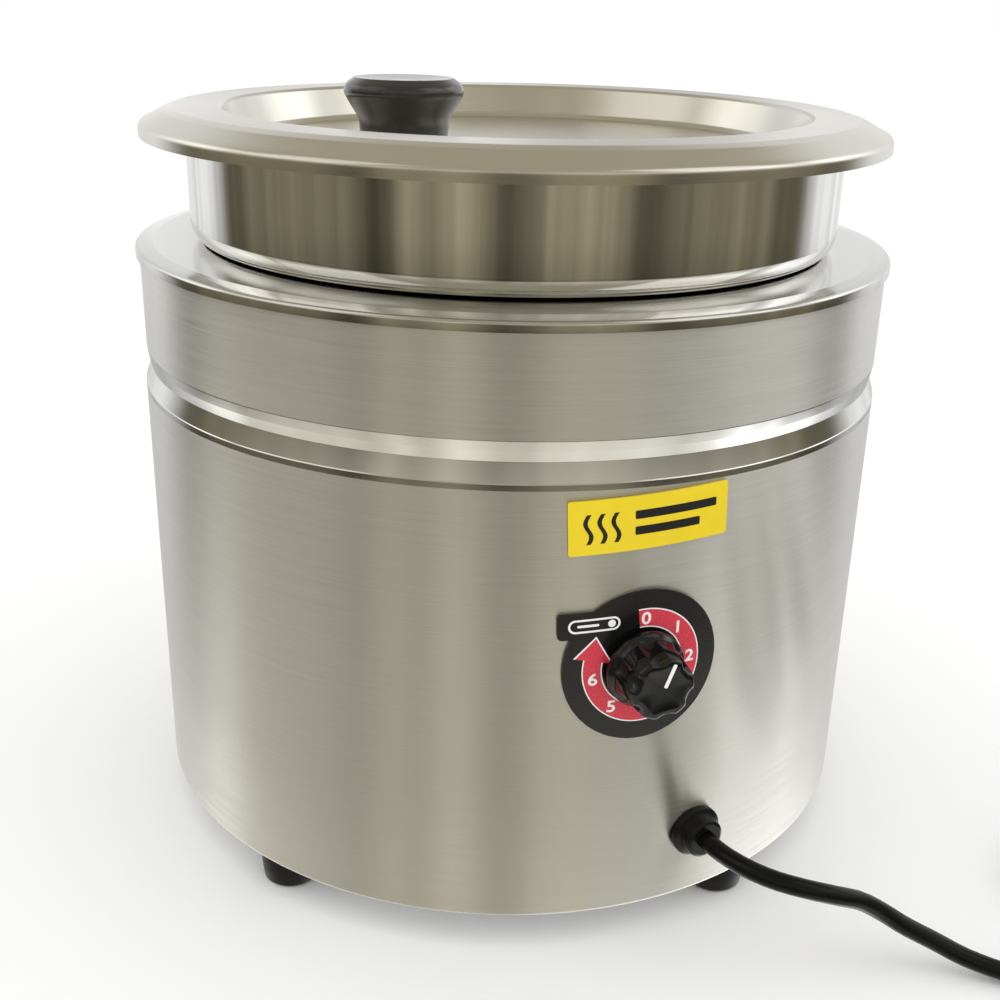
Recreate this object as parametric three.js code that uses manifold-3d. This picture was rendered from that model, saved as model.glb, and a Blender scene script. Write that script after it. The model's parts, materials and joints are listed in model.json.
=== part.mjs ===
// Countertop soup kettle: a brushed drum with a water well, a lift-out food pot, a loose dished lid,
// a thermostat in the front wall and a mains lead. Millimetres, +Z up. The kettle's axis is the Z axis,
// z = 0 is the underside of the base cover, and the control faces -Y.
import * as THREE from "three";
import { mergeVertices } from "three/addons/utils/BufferGeometryUtils.js";
import Module from "manifold-3d";

const wasm = await Module();
wasm.setup();

// ---- Driving dimensions -------------------------------------------------------------------------

const SHEET = 1.2; // drum and pan sheet
const LID_SHEET = 1.0;
const GAP = 0.3; // between pieces that touch
const RUNNING = 0.3; // round a shaft, screw or stud

const DRUM_RADIUS = 165;
const DRUM_BOTTOM = 1.5; // underside of the drum's in-turned foot flange
const DRUM_FLANGE_WIDTH = 22;
const DRUM_CORNER = 2;
const BAND_STEP = 1.2; // the drum above the groove is this much smaller in radius
const GROOVE_HEIGHT = 184.9; // where the plain lower wall ends
const GROOVE_DEPTH = 2.8;

const DECK_HEIGHT = 248.3; // top of the flange round the well
const DECK_EDGE = 7.5; // the deck's outer margin, which slopes down to the rim
const DECK_FALL = 0.8;
const RIM_CORNER = 1.7;
const RIM_DROP = 4.9; // how far the rolled rim hangs over the drum
const WELL_RADIUS = 134.5;
const WELL_MOUTH = 4; // radius of the rolled mouth
const WELL_FLOOR = 72;
const WELL_CORNER = 18;

const POT_OVERLAP = 7.5; // how much wider than the well the polished band above the deck is
const POT_SHOULDER = 9.5;
const POT_PLAY = 3.5; // round the pot's body in the well
const POT_CLEARANCE = 10; // from the well's floor to the pot
const POT_CORNER = 18;
const POT_BEAD = 2.9; // radius of the rolled rim
const POT_RISE = 53.3; // from the deck to the rolled rim's top

const LID_OVERHANG = 18.6; // past the pot's band
const LID_RING_OVERHANG = 5.6; // where the flat ring bends into the skirt
const LID_RING_WIDTH = 20.9;
const LID_DISH_DEPTH = 15.3;
const LID_SKIRT_DROP = 11.2;
const KNOB_OFFSET = 49; // the lid's knob stands off the centre
const KNOB_TURN = -108.6; // degrees from -Y towards +X
const KNOB_HEIGHT = 26;
const KNOB_RADIUS = 26.5;
const KNOB_NECK = 19.4;

const DIAL_HEIGHT = 114.2;
const DIAL_RADIUS = 31.5;
const DIAL_TAB = { left: -33, right: -4, low: 15, high: 25.5, corner: 2 };
const PLATE = 0.8; // dial plate and label
const CONTROL_FACE = 21; // from the drum's wall to the control knob's face
const CONTROL_SKIRT = 15.6;
const CONTROL_GRIP = 12.4;
const CONTROL_LOBES = 6;
const POINTER_ANGLE = 69; // degrees above +X, seen from the front
const SHAFT_RADIUS = 3;
const BUSH_RADIUS = 5;

const LABEL = { width: 62.8, height: 21.1, centre: 173.3, tilt: 2.7 };

const LEAD_TURN = 10.4; // degrees from -Y towards +X
const LEAD_HEIGHT = 32.2;
const LEAD_RADIUS = 3.8;
const BUSHING = { flange: 11, flangeThick: 3, nose: 5.7, barrel: 8, reach: 13.3, hole: 8.3 };

const FOOT = { radius: 13, height: 14, inset: 16, screw: 2.1, head: 4.6 };
const FOOT_TURNS = [-56, 21.4, 124, 201.4]; // degrees from -Y towards +X
const COVER_INSET = 10; // from the drum's wall to the base cover's edge
const COVER_SHEET = 0.9;
const COVER_PANEL = { radius: 70, drop: 0.3 }; // the pressed panel in its middle

const ELEMENT = { ring: 85, tube: 4, start: 72, sweep: 336, terminal: 26 };
const STUD_RING = 55;
const STUD_TURNS = [60, 180, 300];
const STUD_RADIUS = 2.5;
const CLAMP = { outer: 105, inner: 21, thick: 2 };
const SPACER_HEIGHT = 8;
const SHIELD = { outer: 100, inner: 12, thick: 1 };
const NUT_HEIGHT = 3.2;

const COIL = { x: 235, y: -212, mean: 42, columns: 3, layers: 2 };
const PLUG = { relief: 30, body: 36, width: 26, height: 22.6, blade: 16, pin: 18 };

// Sizes that follow from those above.
const FOOT_TOP = COVER_PANEL.drop - GAP;
const FLOOR_LEVEL = FOOT_TOP - FOOT.height;
const BAND_RADIUS = DRUM_RADIUS - BAND_STEP;
const COVER_RADIUS = DRUM_RADIUS - COVER_INSET;
const FOOT_RING = DRUM_RADIUS - FOOT.inset;
const RIM_RADIUS = BAND_RADIUS + GAP + 0.1 + SHEET;
const DRUM_TOP = DECK_HEIGHT - DECK_FALL - SHEET - GAP - 0.2;
const POT_RADIUS = WELL_RADIUS + POT_OVERLAP;
const POT_BODY_RADIUS = WELL_RADIUS - POT_PLAY;
const POT_FLOOR = WELL_FLOOR + POT_CLEARANCE;
const POT_TOP = DECK_HEIGHT + POT_RISE;
const LID_RADIUS = POT_RADIUS + LID_OVERHANG;
const LID_RING_RADIUS = POT_RADIUS + LID_RING_OVERHANG;
const LID_DISH_RADIUS = LID_RING_RADIUS - LID_RING_WIDTH;
const LID_TOP = POT_TOP + GAP + LID_SHEET;
const DISH_FLOOR = LID_TOP - LID_DISH_DEPTH;
const WELL_UNDERSIDE = WELL_FLOOR - SHEET;
const PLATE_SEAT = DRUM_RADIUS + GAP;
const LEAD_FLOOR = FLOOR_LEVEL + LEAD_RADIUS + 0.1;

const ROUND = 40; // sides of the large turned pieces
const SMALL = 20;
const TINY = 8;

// ---- Materials ----------------------------------------------------------------------------------

const material = (color, roughness, metalness) =>
  new THREE.MeshStandardMaterial({ color, roughness, metalness });

const brushed = material(0xb9b6ad, 0.38, 1);
const polished = material(0xd8d8d6, 0.08, 1);
const satin = material(0xcfcfcd, 0.3, 1);
const zinc = material(0x9c9fa3, 0.45, 1);
const phenolic = material(0x17171a, 0.35, 0);
const gloss = material(0x0b0b0c, 0.1, 0);
const printed = material(0x1c1c1e, 0.3, 0);
const yellow = material(0xe3c715, 0.4, 0);
const white = material(0xe8e8e4, 0.5, 0);
const rubber = material(0x121212, 0.7, 0);
const lead = material(0x141414, 0.45, 0);
const nylon = material(0x131314, 0.4, 0);
const wool = material(0xcfc6a8, 0.95, 0);
const ceramic = material(0xe4dfd2, 0.6, 0);
const brass = material(0xb08d3f, 0.35, 1);
const copper = material(0xa8683c, 0.35, 1);
const redWire = material(0x9a2a22, 0.6, 0);
const greenWire = material(0x2f7a3a, 0.6, 0);

// ---- Geometry helpers ---------------------------------------------------------------------------

const radians = THREE.MathUtils.degToRad;
const point = (x, y) => new THREE.Vector2(x, y);

// Points of an arc in a profile, from angle a to angle b in degrees.
function arc(cx, cy, radius, a, b, steps) {
  return Array.from({ length: steps + 1 }, (_, i) => {
    const angle = radians(a + ((b - a) * i) / steps);
    return point(cx + radius * Math.cos(angle), cy + radius * Math.sin(angle));
  });
}

// The line at a distance to the left of a profile, with mitred corners.
function offsetLine(line, distance) {
  const normals = line.slice(1).map((p, i) => {
    const way = p.clone().sub(line[i]).normalize();
    return point(-way.y, way.x);
  });
  return line.map((p, i) => {
    const before = normals[Math.max(i - 1, 0)];
    const after = normals[Math.min(i, normals.length - 1)];
    const mitre = before.clone().add(after).normalize();
    return p.clone().addScaledVector(mitre, distance / mitre.dot(after));
  });
}

// The closed section of a sheet whose visible side is the given line, with its metal on the left.
function sheetSection(line, thickness) {
  return [...line, ...offsetLine(line, thickness).reverse()];
}

function solidOf(geometry) {
  const plain = geometry.index ? geometry.toNonIndexed() : geometry.clone();
  plain.deleteAttribute("normal");
  plain.deleteAttribute("uv");
  const merged = mergeVertices(plain, 1e-4);
  const corners = merged.index.array;
  const kept = [];
  for (let i = 0; i < corners.length; i += 3) {
    const [a, b, c] = [corners[i], corners[i + 1], corners[i + 2]];
    if (a !== b && b !== c && c !== a) kept.push(a, b, c);
  }
  const vertProperties = new Float32Array(merged.attributes.position.array);
  const mesh = new wasm.Mesh({ numProp: 3, vertProperties, triVerts: new Uint32Array(kept) });
  return new wasm.Manifold(mesh);
}

function geometryOf(solid) {
  const mesh = solid.getMesh();
  const geometry = new THREE.BufferGeometry();
  geometry.setAttribute("position", new THREE.BufferAttribute(mesh.vertProperties, 3));
  geometry.setIndex(new THREE.BufferAttribute(mesh.triVerts, 1));
  const faceted = geometry.toNonIndexed();
  faceted.computeVertexNormals();
  return faceted;
}

// A closed profile of (radius, height) points turned about the Z axis.
function turned(profile, sides = ROUND) {
  const outward = THREE.ShapeUtils.area(profile) > 0 ? profile : [...profile].reverse();
  const onAxis = outward.filter((p) => p.x === 0).length > 0;
  const start = onAxis ? outward.findIndex((p, i) => p.x === 0 && outward.at(i - 1).x === 0) : 0;
  const ordered = [...outward.slice(start), ...outward.slice(0, start)];
  if (!onAxis) ordered.push(ordered[0].clone());
  return new THREE.LatheGeometry(ordered, sides).rotateX(Math.PI / 2);
}

const disc = (radius, low, high, sides = SMALL) =>
  new THREE.CylinderGeometry(radius, radius, high - low, sides)
    .rotateX(Math.PI / 2)
    .translate(0, 0, (low + high) / 2);

const washerRing = (inner, outer, low, high, sides = SMALL) =>
  turned([point(inner, low), point(outer, low), point(outer, high), point(inner, high)], sides);

// Takes a piece made along +Z and turns it to point out of the drum's wall at an azimuth and height.
function outOfWall(geometry, turn, height) {
  return geometry.rotateX(Math.PI / 2).translate(0, 0, height).rotateZ(radians(turn));
}

const cut = (geometry, tools) =>
  geometryOf(tools.reduce((solid, tool) => solid.subtract(solidOf(tool)), solidOf(geometry)));

const joined = (...geometries) =>
  geometryOf(geometries.map(solidOf).reduce((solid, other) => solid.add(other)));

// A round tube along a smooth curve through the points.
function tube(points, radius, steps, sides) {
  const path = new THREE.CatmullRomCurve3(points.map((p) => new THREE.Vector3(...p)));
  const section = new THREE.Shape(arc(0, 0, radius, 0, 360 - 360 / sides, sides - 1));
  return new THREE.ExtrudeGeometry(section, { steps, extrudePath: path, bevelEnabled: false });
}

function mesh(name, geometry, look) {
  const made = new THREE.Mesh(geometry, look);
  made.name = name;
  return made;
}

function group(...children) {
  const made = new THREE.Group();
  made.add(...children);
  return made;
}

// The place at a radius and azimuth, measured from -Y towards +X.
const polar = (radius, turn, z = 0) =>
  new THREE.Vector3(radius * Math.sin(radians(turn)), -radius * Math.cos(radians(turn)), z);

function placed(object, place) {
  object.position.copy(place);
  return object;
}

// ---- Drum ---------------------------------------------------------------------------------------

function drumLine() {
  const flangeEdge = DRUM_RADIUS - DRUM_FLANGE_WIDTH;
  return [
    point(flangeEdge, DRUM_BOTTOM),
    ...arc(DRUM_RADIUS - DRUM_CORNER, DRUM_BOTTOM + DRUM_CORNER, DRUM_CORNER, -90, 0, 2),
    point(DRUM_RADIUS, GROOVE_HEIGHT + 3.6),
    point(DRUM_RADIUS - 0.7, GROOVE_HEIGHT + 4.4),
    point(DRUM_RADIUS - GROOVE_DEPTH, GROOVE_HEIGHT + 11.6),
    point(BAND_RADIUS - 0.6, GROOVE_HEIGHT + 15.6),
    point(BAND_RADIUS, GROOVE_HEIGHT + 19.4),
    point(BAND_RADIUS, DRUM_TOP),
  ];
}

const footHole = (turn) => {
  const place = polar(FOOT_RING, turn);
  return disc(FOOT.screw + RUNNING, -1, DRUM_BOTTOM + 3, TINY).translate(place.x, place.y, 0);
};

function outerShell() {
  const wallReach = 30;
  const bushHole = outOfWall(
    disc(BUSH_RADIUS + RUNNING, DRUM_RADIUS - wallReach, DRUM_RADIUS + wallReach, SMALL),
    0,
    DIAL_HEIGHT,
  );
  const leadHole = outOfWall(
    disc(BUSHING.hole, DRUM_RADIUS - wallReach, DRUM_RADIUS + wallReach, SMALL),
    LEAD_TURN,
    LEAD_HEIGHT,
  );
  return cut(turned(sheetSection(drumLine(), SHEET)), [
    bushHole,
    leadHole,
    ...FOOT_TURNS.map(footHole),
  ]);
}

// ---- Well pan, pot and lid ----------------------------------------------------------------------

function wellPan() {
  const rimCentre = point(RIM_RADIUS - RIM_CORNER, DECK_HEIGHT - DECK_FALL - RIM_CORNER);
  const line = [
    point(RIM_RADIUS, DECK_HEIGHT - RIM_DROP),
    ...arc(rimCentre.x, rimCentre.y, RIM_CORNER, 0, 80, 2),
    point(RIM_RADIUS - DECK_EDGE, DECK_HEIGHT),
    ...arc(WELL_RADIUS + WELL_MOUTH, DECK_HEIGHT - WELL_MOUTH, WELL_MOUTH, 90, 180, 3),
    ...arc(WELL_RADIUS - WELL_CORNER, WELL_FLOOR + WELL_CORNER, WELL_CORNER, 0, -90, 2),
    point(0, WELL_FLOOR),
  ];
  return turned(sheetSection(line, SHEET));
}

// The pot hangs by its shoulder on the well's rolled mouth.
function shoulderCentre() {
  const mouthRadius = WELL_RADIUS + WELL_MOUTH;
  const mouthHeight = DECK_HEIGHT - WELL_MOUTH;
  const reach = POT_SHOULDER + WELL_MOUTH + GAP + 0.1;
  const radius = POT_RADIUS - POT_SHOULDER;
  return point(radius, mouthHeight + Math.sqrt(reach ** 2 - (mouthRadius - radius) ** 2));
}

function insetPot() {
  const shoulder = shoulderCentre();
  const line = [
    point(0, POT_FLOOR),
    ...arc(POT_BODY_RADIUS - POT_CORNER, POT_FLOOR + POT_CORNER, POT_CORNER, -90, 0, 2),
    point(POT_BODY_RADIUS, shoulder.y - POT_SHOULDER - 1.2),
    point(POT_BODY_RADIUS + 0.6, shoulder.y - POT_SHOULDER),
    ...arc(shoulder.x, shoulder.y, POT_SHOULDER, -75, 0, 3),
    point(POT_RADIUS, POT_TOP - POT_BEAD),
  ];
  const beadRadius = POT_RADIUS - SHEET + POT_BEAD;
  const bead = arc(beadRadius, POT_TOP - POT_BEAD, POT_BEAD, -30, 270, 5);
  return joined(turned(sheetSection(line, SHEET)), turned(bead));
}

function lidLine() {
  const edge = 3;
  const low = LID_TOP - LID_SKIRT_DROP;
  const dishWall = LID_DISH_RADIUS - 6.5;
  return [
    point(LID_RADIUS, low),
    ...arc(LID_RADIUS - edge, low + edge, edge, 0, 60, 2),
    point(LID_RING_RADIUS + 3, LID_TOP - 1.3),
    point(LID_RING_RADIUS - 1, LID_TOP),
    point(LID_DISH_RADIUS + 1.2, LID_TOP),
    point(LID_DISH_RADIUS - 0.6, LID_TOP - 1),
    point(dishWall + 1, DISH_FLOOR + 2),
    point(dishWall - 2, DISH_FLOOR),
    point(0, DISH_FLOOR),
  ];
}

const SCREW_RADIUS = 2.5;
const knobPlace = polar(KNOB_OFFSET, KNOB_TURN);

function lidShell() {
  const hole = disc(SCREW_RADIUS + RUNNING, DISH_FLOOR - 5, DISH_FLOOR + 5, TINY);
  hole.translate(knobPlace.x, knobPlace.y, 0);
  return cut(turned(sheetSection(lidLine(), LID_SHEET)), [hole]);
}

// Mushroom knob with a screw hole up its middle, standing on z = 0.
function lidKnob() {
  const bore = SCREW_RADIUS + RUNNING;
  const line = [
    point(0, KNOB_HEIGHT * 0.62),
    point(bore, KNOB_HEIGHT * 0.62),
    point(bore, 0),
    point(KNOB_NECK, 0),
    point(KNOB_NECK + 0.4, KNOB_HEIGHT * 0.36),
    point(KNOB_RADIUS - 3.4, KNOB_HEIGHT * 0.54),
    point(KNOB_RADIUS, KNOB_HEIGHT * 0.73),
    point(KNOB_RADIUS - 1, KNOB_HEIGHT * 0.86),
    point(KNOB_RADIUS - 5, KNOB_HEIGHT),
    point(0, KNOB_HEIGHT - 1),
  ];
  return turned(line, SMALL);
}

function screw(shank, head, headHeight, length) {
  const line = [
    point(0, -headHeight),
    point(head, -headHeight),
    point(head, 0),
    point(shank, 0),
    point(shank, length),
    point(0, length),
  ];
  return turned(line, TINY);
}

function lidParts() {
  const washer = { inner: 2.9, outer: 8, thick: 1 };
  const under = DISH_FLOOR - LID_SHEET - GAP;
  const knobGroup = group(
    placed(mesh("lid_knob", lidKnob(), phenolic), new THREE.Vector3(0, 0, DISH_FLOOR + GAP)),
    mesh(
      "lid_knob_washer",
      washerRing(washer.inner, washer.outer, under - washer.thick, under, SMALL),
      zinc,
    ),
    placed(
      mesh("lid_knob_screw", screw(SCREW_RADIUS, 4.6, 2.6, KNOB_HEIGHT * 0.5), zinc),
      new THREE.Vector3(0, 0, under - washer.thick - GAP),
    ),
  );
  knobGroup.position.copy(knobPlace);
  return group(mesh("lid", lidShell(), satin), knobGroup);
}

// ---- Plate and label on the drum's wall ---------------------------------------------------------

// A thin sheet with the given outline, curved to lie on the drum's wall.
function wallSheet(outline, holes, height) {
  const reach = 30;
  const block = new THREE.ExtrudeGeometry(outline, { depth: 2 * reach, bevelEnabled: false });
  block.translate(0, 0, DRUM_RADIUS - reach);
  const band = washerRing(
    PLATE_SEAT,
    PLATE_SEAT + PLATE,
    height - DIAL_RADIUS - 9,
    height + DIAL_RADIUS + 9,
    ROUND,
  );
  const sheet = solidOf(band).intersect(solidOf(outOfWall(block, 0, height)));
  return geometryOf(
    holes.reduce((solid, hole) => solid.subtract(solidOf(outOfWall(hole, 0, height))), sheet),
  );
}

function roundedBox(left, right, low, high, corner) {
  return new THREE.Shape([
    ...arc(right - corner, low + corner, corner, -90, 0, 2),
    ...arc(right - corner, high - corner, corner, 0, 90, 2),
    ...arc(left + corner, high - corner, corner, 90, 180, 2),
    ...arc(left + corner, low + corner, corner, 180, 270, 2),
  ]);
}

// A round plate with a tab at its upper left, as one outline.
function dialOutline() {
  const { left, low, high, corner } = DIAL_TAB;
  const meetsHigh = 180 - THREE.MathUtils.radToDeg(Math.asin(high / DIAL_RADIUS));
  const meetsLow = 180 - THREE.MathUtils.radToDeg(Math.asin(low / DIAL_RADIUS));
  return new THREE.Shape([
    ...arc(0, 0, DIAL_RADIUS, meetsLow, meetsHigh + 360, 30),
    ...arc(left + corner, high - corner, corner, 90, 180, 2),
    ...arc(left + corner, low + corner, corner, 180, 270, 2),
  ]);
}

function dialPlate() {
  const hole = disc(BUSH_RADIUS + RUNNING, DRUM_RADIUS - 20, DRUM_RADIUS + 20, SMALL);
  return wallSheet(dialOutline(), [hole], DIAL_HEIGHT);
}

function heatLabel() {
  const { width, height, centre, tilt } = LABEL;
  const outline = roundedBox(-width / 2, width / 2, -height / 2, height / 2, 1);
  const turnedOutline = new THREE.Shape(
    outline.getPoints().map((p) => p.rotateAround(point(0, 0), radians(tilt))),
  );
  return wallSheet(turnedOutline, [], centre);
}

// ---- Thermostat ---------------------------------------------------------------------------------

const NUT_SEAT = PLATE_SEAT + PLATE + GAP;
const CONTROL_BACK = NUT_SEAT + 1.6;
const GRIP_START = CONTROL_BACK + 5;
const FACE = DRUM_RADIUS + CONTROL_FACE;
const SHAFT_END = FACE - 4;
const BODY_FRONT = DRUM_RADIUS - SHEET - 1.6;
const BODY = { width: 38, depth: 22, height: 42 };

// Lobed grip on a round skirt, hollow behind to clear the nut.
function controlKnob() {
  const hollow = CONTROL_SKIRT - 5;
  const line = [
    point(0, SHAFT_END + GAP),
    point(SHAFT_RADIUS + RUNNING, SHAFT_END + GAP),
    point(SHAFT_RADIUS + RUNNING, GRIP_START),
    point(hollow, GRIP_START),
    point(hollow, CONTROL_BACK),
    point(CONTROL_SKIRT, CONTROL_BACK),
    point(CONTROL_SKIRT, CONTROL_BACK + 2.6),
    point(CONTROL_GRIP + 1.4, GRIP_START - 0.4),
    point(CONTROL_GRIP, FACE - 1.4),
    point(CONTROL_GRIP - 1, FACE),
    point(0, FACE),
  ];
  const flute = { radius: 4.6, ring: CONTROL_GRIP + 3 };
  const step = 360 / CONTROL_LOBES;
  const flutes = Array.from({ length: CONTROL_LOBES }, (_, i) => {
    const angle = radians(POINTER_ANGLE + step * (i + 0.5));
    return disc(flute.radius, GRIP_START, FACE + 5, TINY).translate(
      flute.ring * Math.cos(angle),
      flute.ring * Math.sin(angle),
      0,
    );
  });
  return outOfWall(cut(turned(line, SMALL), flutes), 0, DIAL_HEIGHT);
}

function knobPointer() {
  const bar = { start: 1.2, width: 1.4, thick: 0.5 };
  const length = CONTROL_GRIP - 1.4 - bar.start;
  const geometry = new THREE.BoxGeometry(length, bar.width, bar.thick)
    .translate(bar.start + length / 2, 0, FACE + GAP + bar.thick / 2)
    .rotateZ(radians(POINTER_ANGLE));
  return outOfWall(geometry, 0, DIAL_HEIGHT);
}

function thermostatBody() {
  const block = new THREE.BoxGeometry(BODY.width, BODY.height, BODY.depth);
  block.translate(0, 0, BODY_FRONT - BODY.depth / 2);
  const bush = disc(BUSH_RADIUS, BODY_FRONT - 1, NUT_SEAT + NUT_HEIGHT, SMALL);
  const bore = disc(SHAFT_RADIUS + RUNNING, BODY_FRONT - BODY.depth / 2, FACE, SMALL);
  return outOfWall(cut(joined(block, bush), [bore]), 0, DIAL_HEIGHT);
}

const hexNut = (bore, across, low, high, boreSides = TINY) =>
  cut(disc(across, low, high, 6), [disc(bore, low - 1, high + 1, boreSides)]);

function thermostatParts() {
  const nut = hexNut(BUSH_RADIUS + RUNNING, 9, NUT_SEAT, NUT_SEAT + 2.4, SMALL);
  const shaft = disc(SHAFT_RADIUS, BODY_FRONT - BODY.depth / 2 + GAP, SHAFT_END, SMALL);
  return group(
    mesh("thermostat_body", thermostatBody(), zinc),
    mesh("thermostat_nut", outOfWall(nut, 0, DIAL_HEIGHT), brass),
    mesh("thermostat_shaft", outOfWall(shaft, 0, DIAL_HEIGHT), brass),
    mesh("control_knob", controlKnob(), gloss),
    mesh("knob_pointer", knobPointer(), white),
  );
}

// ---- Heater under the well ----------------------------------------------------------------------

const ELEMENT_LEVEL = WELL_UNDERSIDE - GAP - ELEMENT.tube;
const CLAMP_TOP = ELEMENT_LEVEL - ELEMENT.tube - GAP;
const CLAMP_LOW = CLAMP_TOP - CLAMP.thick;
const SPACER_LOW = CLAMP_LOW - GAP - SPACER_HEIGHT;
const SHIELD_TOP = SPACER_LOW - GAP;
const SHIELD_LOW = SHIELD_TOP - SHIELD.thick;
const TERMINAL_LOW = ELEMENT_LEVEL - ELEMENT.terminal;
const elementEnd = (turn) => polar(ELEMENT.ring, turn, TERMINAL_LOW);
const FIRST_END = ELEMENT.start - 3;
const LAST_END = ELEMENT.start + ELEMENT.sweep + 3;
const BULB = { y: -46, half: 26, radius: 3 };
const CAPILLARY_EXIT = [-BULB.half - 9, BULB.y - 3];

// An open ring of tube whose two ends turn down.
function heatingElement() {
  const { start, sweep } = ELEMENT;
  const run = Array.from({ length: 17 }, (_, i) => start + 5 + ((sweep - 10) * i) / 16);
  const ring = [start, ...run, start + sweep].map((turn) =>
    polar(ELEMENT.ring, turn, ELEMENT_LEVEL - (turn === start || turn === start + sweep ? 1.6 : 0)),
  );
  const ends = [FIRST_END, LAST_END].map((turn) => {
    const low = polar(ELEMENT.ring, turn, TERMINAL_LOW);
    const high = polar(ELEMENT.ring, turn, ELEMENT_LEVEL - 9);
    return [low, high];
  });
  const line = [...ends[0], ...ring, ...ends[1].reverse()];
  return tube(line.map((place) => place.toArray()), ELEMENT.tube, 56, 8);
}

const throughHole = (radius, place) =>
  disc(radius, TERMINAL_LOW - 20, WELL_UNDERSIDE, TINY).translate(place.x, place.y, 0);

function elementHoles() {
  const clear = ELEMENT.tube + 6;
  return [FIRST_END, LAST_END].map((turn) => throughHole(clear, elementEnd(turn)));
}

const studHoles = () =>
  STUD_TURNS.map((turn) => throughHole(STUD_RADIUS + RUNNING, polar(STUD_RING, turn)));

function elementClamp() {
  const plate = washerRing(CLAMP.inner, CLAMP.outer, CLAMP_LOW, CLAMP_TOP, ROUND / 2);
  const capillarySlot = throughHole(6, new THREE.Vector3(...CAPILLARY_EXIT, 0));
  return cut(plate, [...studHoles(), ...elementHoles(), capillarySlot]);
}

function heatShield() {
  const plate = washerRing(SHIELD.inner, SHIELD.outer, SHIELD_LOW, SHIELD_TOP, ROUND / 2);
  return cut(plate, [...studHoles(), ...elementHoles()]);
}

function heaterParts() {
  const nutHigh = SHIELD_LOW - GAP;
  const fixings = STUD_TURNS.flatMap((turn, i) => {
    const place = polar(STUD_RING, turn);
    const stud = disc(STUD_RADIUS, nutHigh - NUT_HEIGHT - 3, WELL_UNDERSIDE - GAP, TINY);
    const inner = STUD_RADIUS + RUNNING;
    const spacer = washerRing(inner, inner + 2, SPACER_LOW, SPACER_LOW + SPACER_HEIGHT, TINY);
    return [
      placed(mesh(`clamp_stud_${i + 1}`, stud, zinc), place),
      placed(mesh(`clamp_spacer_${i + 1}`, spacer, zinc), place),
      placed(mesh(`clamp_nut_${i + 1}`, hexNut(inner, 5, nutHigh - NUT_HEIGHT, nutHigh), zinc), place),
    ];
  });
  const cutout = disc(9.5, CLAMP_TOP, WELL_UNDERSIDE - GAP, SMALL);
  const bulb = new THREE.CylinderGeometry(BULB.radius, BULB.radius, 2 * BULB.half, TINY);
  bulb.rotateZ(Math.PI / 2).translate(0, BULB.y, WELL_UNDERSIDE - GAP - BULB.radius);
  return group(
    mesh("heating_element", heatingElement(), zinc),
    mesh("element_clamp", elementClamp(), zinc),
    mesh("heat_shield", heatShield(), zinc),
    mesh("limit_cutout", cutout, ceramic),
    mesh("sensing_bulb", bulb, copper),
    ...fixings,
  );
}

function insulationRing() {
  const inner = WELL_RADIUS + SHEET + 0.6;
  const span = { low: 150, high: DECK_HEIGHT - 10, thick: 19 };
  return washerRing(inner, inner + span.thick, span.low, span.high, ROUND);
}

// ---- Wiring -------------------------------------------------------------------------------------

const TERMINAL_BLOCK = { x: 28, y: -91, width: 40, depth: 18, height: 18 };
const COVER_TOP = COVER_PANEL.drop + COVER_SHEET;
const BLOCK_LOW = COVER_TOP + GAP;
const BLOCK_HIGH = BLOCK_LOW + TERMINAL_BLOCK.height;
const EARTH = { x: 72, y: -88, radius: 2.5, height: 12 };
const WIRE_RADIUS = 1.2;

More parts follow.
